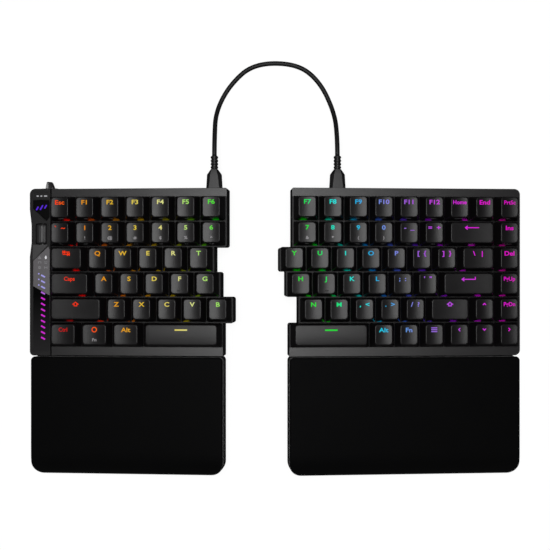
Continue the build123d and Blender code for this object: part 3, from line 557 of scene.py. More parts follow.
def paint_guide_sheen():
    """Paints a sheen on the black light guide: a little paler towards its front."""
    tree = GUIDE_BLACK.node_tree
    zero = LEFT.translation.y
    share = chained(tree, "ShaderNodeMapRange", {
        "Value": separated(tree, place_on_piece(tree))["Y"],
        "From Min": zero + GUIDE_FADE_REAR * MM, "From Max": zero + GUIDE_FADE_FRONT * MM,
    })
    colour = chained(tree, "ShaderNodeMixRGB", {"Fac": share.outputs["Result"], 1: GUIDE_DARK, 2: GUIDE_PAINTED_SHEEN})
    grained = next(node for node in tree.nodes if node.type == "GROUP")
    feed(tree, grained, {"Colour": colour.outputs[0]})


def lens_material():
    """Key lamps: they look dimmer than the light they throw."""
    material = lit("key lamp lenses", 1.0, deep=1.0)
    tree = material.node_tree
    seen = tree.nodes.new("ShaderNodeLightPath").outputs["Is Camera Ray"]
    strength = maths(tree, "MULTIPLY_ADD", seen, LENS_SEEN - LENS_THROWN, LENS_THROWN)
    feed(tree, shader_of(material), {"Emission Strength": strength})
    return material


def switch_material():
    """Switch housings: smoky plastic that passes a little of the key's own light."""
    material = moulded("switch housings", (0.02, 0.02, 0.02), 0.4, 0.3)
    tree = material.node_tree
    glow = {"Emission Color": across_colour(tree, 1.0), "Emission Strength": SWITCH_GLOW}
    feed(tree, shader_of(material), glow)
    return material


paint_guide_sheen()
LAMP_LENS = lens_material()
SWITCH_PLASTIC = switch_material()


# Geometry trees for what repeats.
TILE_SIZES = ("Length", "Width", "Height", "Corner")
TILE_CORNER_STEPS = 3
TILE_SEAM = 0.001
RIB_FACES = 8
RIB_SHARPNESS = 3.0
END_SHARPNESS = 14.0
WHEEL_SEGMENTS = 24
WHEEL_END_SEGMENTS = 2
SCREW_SEGMENTS = 24
SCREW_TAPER = 0.86
SOCKET_SIDES = 6
SOCKET_HEIGHT = 0.66


def geometry_tree(name, inputs):
    """A geometry tree that starts with a geometry and a few named inputs."""
    sockets = [("Geometry", "NodeSocketGeometry", None)] + inputs
    return group(name, "GeometryNodeTree", sockets, [("Geometry", "NodeSocketGeometry")])


def joined_in(tree, first, second):
    """Two geometries as one."""
    both = chained(tree, "GeometryNodeJoinGeometry", {0: first})
    tree.links.new(second, both.inputs[0])
    return both.outputs[0]


def coated_in(tree, geometry, material):
    """A geometry with its material."""
    inputs = {"Geometry": geometry, "Material": material}
    return chained(tree, "GeometryNodeSetMaterial", inputs).outputs[0]


def realized(tree, geometry):
    """A geometry whose instances are real."""
    return chained(tree, "GeometryNodeRealizeInstances", {"Geometry": geometry}).outputs[0]


def tile_tree():
    """Rounded tiles, one on each point."""
    tree, given, end = geometry_tree("rounded tiles", [
        ("Length", "NodeSocketFloat", 3.0),
        ("Width", "NodeSocketFloat", 1.0),
        ("Height", "NodeSocketFloat", 0.2),
        ("Corner", "NodeSocketFloat", 0.2),
        ("Turn", "NodeSocketFloat", 0.0),
        ("Material", "NodeSocketMaterial", None),
    ])
    outline = chained(
        tree, "GeometryNodeCurvePrimitiveQuadrilateral", {"Width": given["Length"], "Height": given["Width"]}
    ).outputs[0]
    rounded = chained(
        tree, "GeometryNodeFilletCurve",
        {"Curve": outline, "Count": TILE_CORNER_STEPS, "Radius": given["Corner"]}, mode="POLY",
    ).outputs[0]
    filled = chained(tree, "GeometryNodeFillCurve", {"Curve": rounded}, mode="NGONS").outputs[0]
    raised = chained(tree, "GeometryNodeExtrudeMesh", {"Mesh": filled, "Offset Scale": given["Height"]})
    bottom = chained(tree, "GeometryNodeFlipFaces", {"Mesh": filled}).outputs[0]
    closed = joined_in(tree, raised.outputs["Mesh"], bottom)
    merged = chained(tree, "GeometryNodeMergeByDistance", {"Geometry": closed, "Distance": TILE_SEAM})
    turn = chained(tree, "ShaderNodeCombineXYZ", {"Z": given["Turn"]})
    placed = chained(tree, "GeometryNodeInstanceOnPoints", {
        "Points": given["Geometry"], "Instance": merged.outputs[0], "Rotation": turn.outputs[0],
    })
    feed(tree, end, {0: coated_in(tree, realized(tree, placed.outputs[0]), given["Material"])})
    return tree


def wheel_tree():
    """A wheel with ribs along its length and rounded ends, its axis along b."""
    tree, given, end = geometry_tree("ribbed wheel", [
        ("Radius", "NodeSocketFloat", 5.0),
        ("Length", "NodeSocketFloat", 14.6),
        ("Ribs", "NodeSocketInt", 16),
        ("Rib depth", "NodeSocketFloat", 0.3),
        ("End rounding", "NodeSocketFloat", 0.5),
        ("Place", "NodeSocketVector", (0.0, 0.0, 0.0)),
        ("Material", "NodeSocketMaterial", None),
    ])
    body = chained(tree, "GeometryNodeMeshCylinder", {
        "Side Segments": WHEEL_SEGMENTS, "Fill Segments": WHEEL_END_SEGMENTS,
        "Radius": given["Radius"],
        "Vertices": maths(tree, "MULTIPLY", given["Ribs"], RIB_FACES), "Depth": given["Length"],
    })
    split = separated(tree, tree.nodes.new("GeometryNodeInputPosition").outputs[0])
    angle = maths(tree, "ARCTAN2", split["Y"], split["X"])
    wave = maths(tree, "COSINE", maths(tree, "MULTIPLY", angle, given["Ribs"]))
    groove = maths(tree, "POWER", maths(tree, "MULTIPLY_ADD", wave, 0.5, 0.5), RIB_SHARPNESS)
    half = maths(tree, "MULTIPLY", given["Length"], 0.5)
    reach = maths(tree, "ABSOLUTE", maths(tree, "DIVIDE", split["Z"], half))
    ending = maths(tree, "MULTIPLY", maths(tree, "POWER", reach, END_SHARPNESS), given["End rounding"])
    sunk = maths(tree, "MULTIPLY_ADD", groove, given["Rib depth"], ending)
    share = maths(tree, "SUBTRACT", 1.0, maths(tree, "DIVIDE", sunk, given["Radius"]))
    ribbed = {axis: maths(tree, "MULTIPLY", split[axis], share) for axis in ("X", "Y")}
    place = chained(tree, "ShaderNodeCombineXYZ", {**ribbed, "Z": split["Z"]})
    shaped = chained(
        tree, "GeometryNodeSetPosition", {"Geometry": body.outputs["Mesh"], "Position": place.outputs[0]}
    )
    turned = chained(tree, "GeometryNodeTransform", {
        "Geometry": shaped.outputs[0], "Rotation": (math.pi / 2, 0.0, 0.0), "Translation": given["Place"],
    })
    feed(tree, end, {0: coated_in(tree, realized(tree, turned.outputs[0]), given["Material"])})
    return tree


def screw_tree():
    """Screw heads on points, each with a six-sided socket, facing down."""
    tree, given, end = geometry_tree("screw heads", [
        ("Head radius", "NodeSocketFloat", 2.2),
        ("Head height", "NodeSocketFloat", 0.5),
        ("Socket radius", "NodeSocketFloat", 0.9),
        ("Head material", "NodeSocketMaterial", None),
        ("Socket material", "NodeSocketMaterial", None),
    ])
    head = chained(tree, "GeometryNodeMeshCone", {
        "Vertices": SCREW_SEGMENTS, "Radius Top": given["Head radius"],
        "Radius Bottom": maths(tree, "MULTIPLY", given["Head radius"], SCREW_TAPER),
        "Depth": given["Head height"],
    })
    socket = chained(tree, "GeometryNodeMeshCylinder", {
        "Vertices": SOCKET_SIDES, "Depth": SOCKET_HEIGHT, "Radius": given["Socket radius"],
    })
    screw = joined_in(
        tree, coated_in(tree, head.outputs["Mesh"], given["Head material"]),
        coated_in(tree, socket.outputs["Mesh"], given["Socket material"]),
    )
    placed = chained(tree, "GeometryNodeInstanceOnPoints", {"Points": given["Geometry"], "Instance": screw})
    feed(tree, end, {0: realized(tree, placed.outputs[0])})
    return tree


def grown(name, tree, values, points, place):
    """A node tree's result on some points, as a plain mesh put in place by a matrix."""
    data = bpy.data.meshes.new(name)
    data.from_pydata(points, [], [])
    piece = linked(name, data)
    modifier = piece.modifiers.new("tree", "NODES")
    modifier.node_group = tree
    for item in tree.interface.items_tree:
        if item.in_out == "INPUT" and item.name in values:
            modifier[item.identifier] = values[item.name]
    piece = baked(piece)
    piece.data.transform(place)
    return piece


def tiled(name, tiles, sizes, turn, material, points, place=LEFT):
    """Tiles of one size and turn on some points; sizes are their length, width, height and corner."""
    values = {**dict(zip(TILE_SIZES, sizes)), "Turn": math.radians(turn), "Material": material}
    return grown(name, tiles, values, points, place)


# The photograph's camera: straight above, its focal length and middle in pixels of a 550 pixel frame.
FRAME_PIXELS = 550.0
FOCAL_PIXELS = 934.5
MIDDLE_PIXEL = 278.7
SENSOR_WIDTH = 36.0
VIEW_REACH = 20.0
CAMERA_HEIGHT = 0.733
CAMERA_FROM_LEFT = 0.1713551
CAMERA_FROM_FRONT = 0.0547


def set_camera():
    """The camera, placed from the left half's zero."""
    data = bpy.data.cameras.new("camera")
    data.sensor_width = SENSOR_WIDTH
    data.lens = FOCAL_PIXELS * SENSOR_WIDTH / FRAME_PIXELS
    data.shift_x = (FRAME_PIXELS / 2 - MIDDLE_PIXEL) / FRAME_PIXELS
    data.clip_end = VIEW_REACH
    camera = linked("camera", data)
    start = LEFT.translation
    camera.location = (start.x + CAMERA_FROM_LEFT, start.y + CAMERA_FROM_FRONT, CAMERA_HEIGHT)
    scene.camera = camera


# The link cable, in metres. Its route is the imported tube's, with three points moved a little towards
# the photograph's line.
CABLE_WIDTH = 0.0036
CABLE_STEPS = 16
CABLE_ROUNDNESS = 6
CABLE_ORDER = 3
CABLE_ROUTE = [
    (-0.0465128, 0.13145, 0.0185439),
    (-0.0465128, 0.14545, 0.0185439),
    (-0.0465128, 0.1684268, 0.0018),
    (-0.0354, 0.1893332, 0.0018),
    (-0.0167121, 0.20585, 0.0018),
    (0.0162849, 0.20585, 0.0018),
    (0.0345, 0.1921604, 0.0018),
    (0.0462, 0.1674596, 0.0018),
    (0.0474958, 0.14545, 0.0184811),
    (0.0474958, 0.13145, 0.0184811),
]


def make_cable(plugs):
    """The cable as one smooth tube between the halves."""
    curve = bpy.data.curves.new("link_cable_route", "CURVE")
    curve.dimensions = "3D"
    curve.bevel_resolution = CABLE_ROUNDNESS
    curve.resolution_u = CABLE_STEPS
    curve.use_fill_caps = True
    spline = curve.splines.new("NURBS")
    spline.points.add(len(CABLE_ROUTE) - 1)
    for point, place in zip(spline.points, CABLE_ROUTE):
        point.co = (*place, 1.0)
    spline.order_u = CABLE_ORDER
    spline.use_endpoint_u = True
    holder = linked("link_cable_route", curve)
    line = as_mesh(holder)
    bpy.data.meshes.remove(line)
    curve.bevel_depth = CABLE_WIDTH / 2
    cable = baked(holder)
    cable.name = cable.data.name = "link_cable_jacket"
    mended(cable.data, merge=SAME_POINT, outwards=True)
    cable.data.shade_smooth()
    coat(cable, CABLE_JACKET)
    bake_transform(cable)
    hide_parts("link_cable")


# Plugs: how far their places lie behind the rear edge, and their widths and heights.
PORT_LEVEL = 7.6
PLUG_PLACES = {"left": 123.05, "right": 35.0}
OVERMOULD_ROOT = 12.5
OVERMOULD_END = 11.2
OVERMOULD_LENGTH = 11.0
OVERMOULD_NOSE = 15.2
OVERMOULD_NECK = 5.2
OVERMOULD_HEIGHT = 7.2
OVERMOULD_CROWN = 8.6
OVERMOULD_SHOULDER = 5.9
OVERMOULD_NOSE_HEIGHT = 3.3
OVERMOULD_NOSE_CROWN = 4.0
OVERMOULD_ROUNDING = 0.35
OVERMOULD_SEGMENTS = 3
OVERMOULD_EDGE_ANGLE = 12.0
RELIEF_START = OVERMOULD_NOSE - 1.0
RELIEF_END = 25.4
RELIEF_RADIUS = 2.4
RELIEF_TIP = [(RELIEF_END - 0.25, RELIEF_RADIUS), (RELIEF_END, RELIEF_RADIUS - 0.3)]
RELIEF_RIB = 2.9
RIB_SHOULDER = RELIEF_RIB - 0.12
RIB_PROFILE = [
    (0.15, RELIEF_RADIUS), (0.28, RIB_SHOULDER), (0.36, RELIEF_RIB),
    (0.64, RELIEF_RIB), (0.72, RIB_SHOULDER), (0.85, RELIEF_RADIUS),
]
RIB_COUNT = 4
RELIEF_FACES = 28
SHELL_WIDE = 8.3
SHELL_TALL = 2.5
SHELL_LENGTH = 6.3
SHELL_CORNER = 1.1
SHELL_WALL = 0.35
SHELL_INNER_CORNER = 0.8
SHELL_FLOOR = -0.3


def plug_section(b, wide, high, crown):
    """Eight-sided section of the overmould: its half width, half height and the crown's half width."""
    low = high / 3
    points = [
        (-wide, low), (-crown, high), (crown, high), (wide, low),
        (wide, -low), (crown, -high), (-crown, -high), (-wide, -low),
    ]
    return [(a, REAR_EDGE + b, PORT_LEVEL + c) for a, c in points]


def shell_section(inset, radius):
    """Section of the plug's steel shell, or of its hollow."""
    wide, tall = SHELL_WIDE / 2 - inset, SHELL_TALL / 2 - inset
    return rounded_rectangle(-wide, wide, -tall, tall, radius, corner_steps=5, side_steps=2)


def make_plug(side, place):
    """A plug: overmould, ribbed relief and steel shell."""
    middle = PLUG_PLACES[side]
    tall = OVERMOULD_HEIGHT / 2
    points, faces = lofted([
        plug_section(0.0, OVERMOULD_ROOT / 2, tall, OVERMOULD_CROWN / 2),
        plug_section(OVERMOULD_LENGTH, OVERMOULD_END / 2, tall, OVERMOULD_SHOULDER / 2),
        plug_section(OVERMOULD_NOSE, OVERMOULD_NECK / 2, OVERMOULD_NOSE_HEIGHT, OVERMOULD_NOSE_CROWN / 2),
    ])
    body = mesh_of(side + "_plug_body", [(moved(points, middle, 0, 0), faces, PLUG_PLASTIC)], place)
    body = bevelled(body, OVERMOULD_ROUNDING, OVERMOULD_SEGMENTS, OVERMOULD_EDGE_ANGLE)
    pitch = (RELIEF_END - OVERMOULD_NOSE) / RIB_COUNT
    profile = [(RELIEF_START, RELIEF_RADIUS)]
    for i in range(RIB_COUNT):
        profile += [(OVERMOULD_NOSE + pitch * (i + share), radius) for share, radius in RIB_PROFILE]
    turns = [2 * math.pi * k / RELIEF_FACES for k in range(RELIEF_FACES)]
    relief = lofted([
        [(middle - radius * math.cos(t), REAR_EDGE + b, PORT_LEVEL + radius * math.sin(t)) for t in turns]
        for b, radius in profile + RELIEF_TIP
    ])
    inside, outside = shell_section(SHELL_WALL, SHELL_INNER_CORNER), shell_section(0.0, SHELL_CORNER)
    shell = lofted([
        [(middle + a, REAR_EDGE + b, PORT_LEVEL + c) for a, c in section]
        for section, b in (
            (inside, SHELL_FLOOR), (inside, -SHELL_LENGTH), (outside, -SHELL_LENGTH), (outside, 0.0)
        )
    ])
    ends = mesh_of(side + "_plug_ends", [(*relief, PLUG_PLASTIC), (*shell, BRIGHT_STEEL)], place)
    plug = joined(side + "_plug", [body, ends])
    mended(plug.data, outwards=True)
    settle(plug, side + "_half", (side + "_cable_plug",), EDGE_ANGLE)
    return plug


# Cases, plates, stands and feet: node, piece, rounding, material, body and slot, each without its side.
HOUSINGS = [
    ("bottom_case", "case_shell", 0.5, CASE_PLASTIC, "half", "case_plastic"),
    ("top_plate", "plate", 0.4, PLATE_METAL, "half", "dark_aluminium"),
    ("case_stand", "case_stand_leaf", 0.3, CASE_PLASTIC, "case_stand", "case_plastic"),
    ("rest_stand", "rest_stand_leaf", 0.3, CASE_PLASTIC, "rest_stand", "case_plastic"),
    ("foot_pads", "feet", 0.4, FOOT_RUBBER, "half", "foot_rubber"),
    ("rest_foot_pads", "rest_feet", 0.4, FOOT_RUBBER, "wrist_rest", "foot_rubber"),
]
HOUSING_SEGMENTS = 3
BARS_FRONT = 0.2
BARS_REAR = ROWS * PITCH - BARS_FRONT


def make_housings():
    """Cases, plates, stands and feet; the bars between the keys get a duller, darker copy of the plate's
    finish than its two strips, painted shade where the caps shadow them.
    """
    for side, place in SIDES:
        for node, name, radius, material, body, slot in HOUSINGS:
            names = [side + "_" + label for label in (node, name, body)]
            cuts = (BARS_FRONT, BARS_REAR) if material is PLATE_METAL else ()
            piece = softened(*names[:2], radius, HOUSING_SEGMENTS, place, cuts)
            dress(piece, material, names[2], (names[0],))
            if cuts:
                # Painted shade on the bars between the keys.
                coat_partly(
                    piece, PAINTED_SHADE_BAR_METAL, place, lambda middle, facing: BARS_FRONT < middle.y < BARS_REAR
                )


# Side panel with its badge, light guides, marks and stripes.
PANEL_ROUNDING = 0.35
BADGE_ROUNDING = 0.25
WHEEL_A = -7.8
WHEEL_FROM_REAR = 34.5
WHEEL_B = REAR_EDGE - WHEEL_FROM_REAR
WHEEL_RADIUS = 5.0
WHEEL_LENGTH = 14.6
WHEEL_PROUD = 1.5
WHEEL_C = PANEL_TOP + WHEEL_PROUD - WHEEL_RADIUS
WHEEL_SKIN = 0.25
WHEEL_RIBS = 18
WHEEL_RIB_DEPTH = 0.18
WHEEL_END = 0.6
AXLE_ROUNDING = 0.2
SLOT_HALF = 4.5
SLOT_REACH = 8.0
SLOT_CORNER = 1.6
# The painted sheen on the wheel frame starts this far in front of the wheel slot.
SHOULDER_GAP = 0.2
SHOULDER_B = WHEEL_B - SLOT_REACH - SHOULDER_GAP
SURROUND = [
    (-14.6, 66.2), (-13.9, 66.2), (-2.0, 78.6), (-2.0, 92.0), (-3.0, 93.2), (-13.9, 103.6), (-14.6, 103.6)
]
SURROUND_SINK = 0.1
SURROUND_RISE = 0.15
SURROUND_SEAM = 0.001
SURROUND_FLAT = 1.0
THIN_ROUNDING = 0.1
EMBLEM_BARS = [(-11.0, 105.4, 3.2), (-7.8, 106.0, 4.2), (-4.6, 106.6, 3.2)]
EMBLEM_SIZES = (1.05, 0.12, 0.3)
EMBLEM_TURN = 58.0
EMBLEM_SINK = 0.04
GUIDE_RISE = 0.12
GUIDE_SINK = 0.3
GUIDE_OUTER = -14.2
GUIDE_INNER = -1.5
GUIDE_TOP = (-2.4, 76.4)
GUIDE_INNER_TOP = 73.8
GUIDE_SPLIT_OUTER = 46.1
GUIDE_SPLIT_INNER = 39.1
GUIDE_UPPER_OUTER = 65.4
GUIDE_FRONT = -3.4
GUIDE_SEAM = 0.12
UPPER_GUIDE = [
    (GUIDE_OUTER, GUIDE_SPLIT_OUTER + GUIDE_SEAM), (GUIDE_INNER, GUIDE_SPLIT_INNER + GUIDE_SEAM),
    (GUIDE_INNER, GUIDE_INNER_TOP), GUIDE_TOP, (GUIDE_OUTER, GUIDE_UPPER_OUTER),
]
LOWER_GUIDE = [
    (GUIDE_OUTER, GUIDE_FRONT), (GUIDE_INNER, GUIDE_FRONT),
    (GUIDE_INNER, GUIDE_SPLIT_INNER - GUIDE_SEAM), (GUIDE_OUTER, GUIDE_SPLIT_OUTER - GUIDE_SEAM),
]
MARK_FROM_REAR = 5.6
MARK_B = REAR_EDGE - MARK_FROM_REAR
MARKS = [(-10.9, 1.6), (-8.05, 1.3), (-4.75, 2.4)]
MARK_SIZES = (0.95, 0.2, 0.25)
MARK_SINK = 0.5
ICON_GAP = 10.6
ICON_FIRST = WHEEL_B - WHEEL_LENGTH / 2 - ICON_GAP
ICON_PITCH = 3.8
ICON_PLACES = [-9.2, -4.4]
ICON_STROKE = 0.42
BRIGHT_ICON = 1
ICON_STROKES = [
    [[(-1.0, -0.8), (1.0, -0.8)], [(-0.6, -0.3), (0.0, 0.9), (0.6, -0.3)]],
    [[(0.0, 1.2), (-0.6, 0.2), (-0.4, -0.7), (0.4, -0.7), (0.6, 0.2), (0.0, 1.2)], [(0.0, 0.6), (0.0, -1.1)]],
    [[(-1.0, -0.6), (-1.0, 0.6), (1.0, 0.6), (1.0, -0.6)]],
    [[(-1.1, 0.5), (-0.4, 0.5)], [(0.4, 0.5), (1.1, 0.5)], [(-0.8, -0.6), (0.8, -0.6)]],
    [[(-0.9, -0.5), (-0.9, 0.5), (0.0, 0.9), (0.0, -0.9), (-0.9, -0.5)], [(0.8, -0.6), (0.8, 0.6)]],
    [[(-1.0, 0.7), (-1.0, -0.7)], [(1.0, 0.7), (1.0, -0.7)], [(-0.5, 0.0), (0.5, 0.0)]],
]
STRIPE_GAP = 6.5
STRIPE_FIRST = ICON_FIRST - 2 * ICON_PITCH - STRIPE_GAP
STRIPE_PITCH = 4.3
STRIPE_COUNT = 12
STRIPE_A = -6.55
STRIPE_TURN = -28.0
STRIPE_SIZES = (3.5, 1.15, 0.13, 0.25)
STRIPE_SINK = 0.05
DOT_SIZES = (1.1, 1.0, 0.13, 0.2)
DOT_OFFSET = 3.3
COOL_COUNT = 3


def cut_plate(name, outline, hole, low, high, material):
    """A flat outline with a hole, given thickness."""
    curve = bpy.data.curves.new(name, "CURVE")
    curve.dimensions = "2D"
    curve.fill_mode = "BOTH"
    curve.extrude = (high - low) / 2
    for points in (outline, hole):
        spline = curve.splines.new("POLY")
        spline.points.add(len(points) - 1)
        for point, (a, b) in zip(spline.points, points):
            point.co = (a, b, 0.0, 1.0)
        spline.use_cyclic_u = True
    made = baked(linked(name, curve))
    made.data.transform(Matrix.Translation((0.0, 0.0, (low + high) / 2)))
    mended(made.data, merge=SURROUND_SEAM, flatten=SURROUND_FLAT, outwards=True)
    made.data.transform(LEFT)
    coat(made, material)
    return made


def make_side_panel():
    """The panel's body, its badge, its wheel frame with a painted sheen in front of the wheel, and its two
    light guides, the upper one grey as a painted reflection.
    """
    panel = softened("left_side_panel", "side_panel_body", PANEL_ROUNDING)
    dress(panel, PANEL_PLASTIC, "left_half", ("left_side_panel",))
    badge = softened("left_badge_plate", "side_badge", BADGE_ROUNDING)
    dress(badge, BADGE_GLOSS, "left_half", ("left_badge_plate",))
    slot = rounded_rectangle(
        WHEEL_A - SLOT_HALF, WHEEL_A + SLOT_HALF, WHEEL_B - SLOT_REACH, WHEEL_B + SLOT_REACH,
        SLOT_CORNER, corner_steps=5, side_steps=1,
    )
    levels = (PANEL_TOP - SURROUND_SINK, PANEL_TOP + SURROUND_RISE)
    surround = cut_plate("wheel_surround", SURROUND, slot, *levels, PANEL_PLASTIC)
    cut_across(surround.data, LEFT, SHOULDER_B)
    surround = bevelled(surround, THIN_ROUNDING)
    # Painted sheen: the frame in front of the wheel slot takes a paler, shinier copy of the panel plastic.
    coat_partly(surround, PAINTED_SHEEN_PANEL_PLASTIC, LEFT, lambda middle, facing: middle.y < SHOULDER_B)
    settle(surround, "left_half")
    # The upper guide's grey is a painted reflection, and the lower guide's paling towards its front is painted
    # sheen.
    for name, outline, material in (
        ("guide_upper", UPPER_GUIDE, PAINTED_REFLECTION_GUIDE), ("guide_lower", LOWER_GUIDE, GUIDE_BLACK)
    ):
        plate = plate_of(outline, PANEL_TOP - GUIDE_SINK, PANEL_TOP + GUIDE_RISE)
        guide = bevelled(mesh_of(name, [(*plate, material)], LEFT), THIN_ROUNDING)
        settle(guide, "left_half")


def local_box(node):
    """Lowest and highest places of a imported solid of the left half, in its own millimetres."""
    corners = [LEFT.inverted() @ vertex.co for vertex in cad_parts[node].data.vertices]
    return [[pick(corner[i] for corner in corners) for i in range(3)] for pick in (min, max)]


def make_lights(tiles):
    """The stripes and dots, the badge's bars, and the marks and icons on the side panel."""
    level = PANEL_TOP + GUIDE_RISE - STRIPE_SINK
    stripes = [(STRIPE_A, STRIPE_FIRST - STRIPE_PITCH * i, level) for i in range(STRIPE_COUNT)]
    rise = DOT_OFFSET * math.tan(math.radians(-STRIPE_TURN))
    dots = [(a - DOT_OFFSET, b + rise, c) for a, b, c in stripes[:COOL_COUNT]]
    pieces = [
        tiled(name, tiles, sizes, STRIPE_TURN, material, points)
        for name, sizes, material, points in (
            ("cool_stripes", STRIPE_SIZES, STRIPE_COOL_LIGHT, stripes[:COOL_COUNT]),
            ("middle_stripe", STRIPE_SIZES, STRIPE_MIDDLE_LIGHT, stripes[COOL_COUNT:COOL_COUNT + 1]),
            ("warm_stripes", STRIPE_SIZES, STRIPE_LIGHT, stripes[COOL_COUNT + 1:]),
            ("stripe_dots", DOT_SIZES, STRIPE_COOL_LIGHT, dots),
        )
    ]
    settle(joined("side_stripes", pieces), "left_half", ("left_stripe_lights",))
    level = local_box("left_badge_plate")[1][2] - EMBLEM_SINK
    bars = [
        tiled("emblem_bar", tiles, (length, *EMBLEM_SIZES), EMBLEM_TURN, EMBLEM_LIGHT, [(a, b, level)])
        for a, b, length in EMBLEM_BARS
    ]
    settle(joined("badge_emblem", bars), "left_half")
    pieces = [
        tiled("mark", tiles, (length, *MARK_SIZES), 0.0, MARK_LIGHT, [(a, MARK_B, PANEL_TOP - MARK_SINK)])
        for a, length in MARKS
    ]
    icons = []
    for i, strokes in enumerate(ICON_STROKES):
        row, column = divmod(i, len(ICON_PLACES))
        points, faces = stroked(strokes, ICON_STROKE)
        here = (ICON_PLACES[column], ICON_FIRST - ICON_PITCH * row, PANEL_TOP + GUIDE_RISE)
        icons.append((moved(points, *here), faces, ICON_BRIGHT_LIGHT if i == BRIGHT_ICON else ICON_LIGHT))
    pieces.append(mesh_of("icons", icons, LEFT))
    settle(joined("side_marks", pieces), "left_half", ("left_status_lights",))


def make_wheel():
    """The ribbed wheel and its axle."""
    values = {
        "Radius": WHEEL_RADIUS + WHEEL_SKIN, "Length": WHEEL_LENGTH, "Ribs": WHEEL_RIBS,
        "Rib depth": WHEEL_RIB_DEPTH, "End rounding": WHEEL_END, "Place": (WHEEL_A, WHEEL_B, WHEEL_C),
        "Material": WHEEL_RUBBER,
    }
    wheel = grown("scroll_wheel_ribs", wheel_tree(), values, [], LEFT)
    settle(wheel, "wheel", ("scroll_wheel",))
    axle = softened("wheel_axle", "wheel_axle_pin", AXLE_ROUNDING)
    dress(axle, DARK_STEEL, "wheel", ("wheel_axle",))


# The lever's fin, by sections: distance behind the rear edge, tapers of its two sides, and drop of its top.
LEVER_SECTIONS = [(0.6, 0.0, 0.0, 0.0), (5.2, 0.9, 1.9, 0.0), (5.85, 1.2, 2.6, 0.35)]
LEVER_RISE = 0.25
LEVER_RIDGE = 0.42
LEVER_RIDGE_DROP = 0.28
LEVER_INNER_DROP = 2.3
LEVER_FOOT_REACH = 1.0
LEVER_FOOT_ROUNDING = 0.3
LEVER_ROUNDING = 0.18
LEVER_FACING_UP = 0.9


def make_lever():
    """The sliding lever: a dark foot, and a fin whose outer top face is bright, a painted highlight."""
    low, high = local_box("mode_switch")
    foot = softened("mode_switch", "mode_lever_foot", LEVER_FOOT_ROUNDING)
    cut_across(foot.data, LEFT, REAR_EDGE + LEVER_FOOT_REACH, clear_rear=True)
    coat(foot, LEVER_GLOSS)
    rings = []
    for b, outer_taper, inner_taper, drop in LEVER_SECTIONS:
        outer, inner = low[0] + outer_taper, high[0] - inner_taper
        ridge = outer + LEVER_RIDGE * (inner - outer)
        top = high[2] + LEVER_RISE - drop
        section = [
            (outer, low[2]), (inner, low[2]), (inner, top - LEVER_INNER_DROP),
            (ridge, top - LEVER_RIDGE_DROP), (outer, top),
        ]
        rings.append([(a, REAR_EDGE + b, c) for a, c in section])
    fin = bevelled(mesh_of("mode_lever_fin", [(*lofted(rings), LEVER_GLOSS)], LEFT), LEVER_ROUNDING)
    lever = joined("mode_lever", [foot, fin])
    settle(lever, "mode_switch", ("mode_switch",), EDGE_ANGLE)
    # Painted highlight on the faces turned up.
    coat_partly(lever, PAINTED_HIGHLIGHT_METAL, LEFT, lambda middle, facing: facing.z > LEVER_FACING_UP)


# Keycaps: the gaps between them, how far their faces lean in, their walls and their roundings.
CAP_GAP = 1.0
CAP_SIDE_GAP = 0.7
CAP_SIDE = 2.6
CAP_REAR = 0.7
CAP_FRONT = 2.0
CAP_WALL = 1.2
CAP_ROOF = 1.6
CAP_DISH = 0.62
CAP_CROWN = 0.35
CAP_ROUNDING = 0.7
CAP_CORNER = 2.2
CAP_HOLLOW_CORNER = 0.5
CAP_LIP = 0.15
CAP_LIP_CORNER = 0.7
CAP_RIM_CORNER = 0.8
CAP_TURNS = (22.5, 45.0, 67.5, 90.0)
CAP_TOP_RINGS = (0.8, 0.55, 0.3, 0.08)
CAP_HEIGHTS = [9.6, 9.2, 8.8, 8.6, 8.8, 8.8]
SPACE_SHARE = 3.125
STEM_WIDE = 7.2
STEM_DEEP = 5.2
STEM_LOW = 17.0
STEM_EDGE = 0.3
STEM_CORNER = 0.5


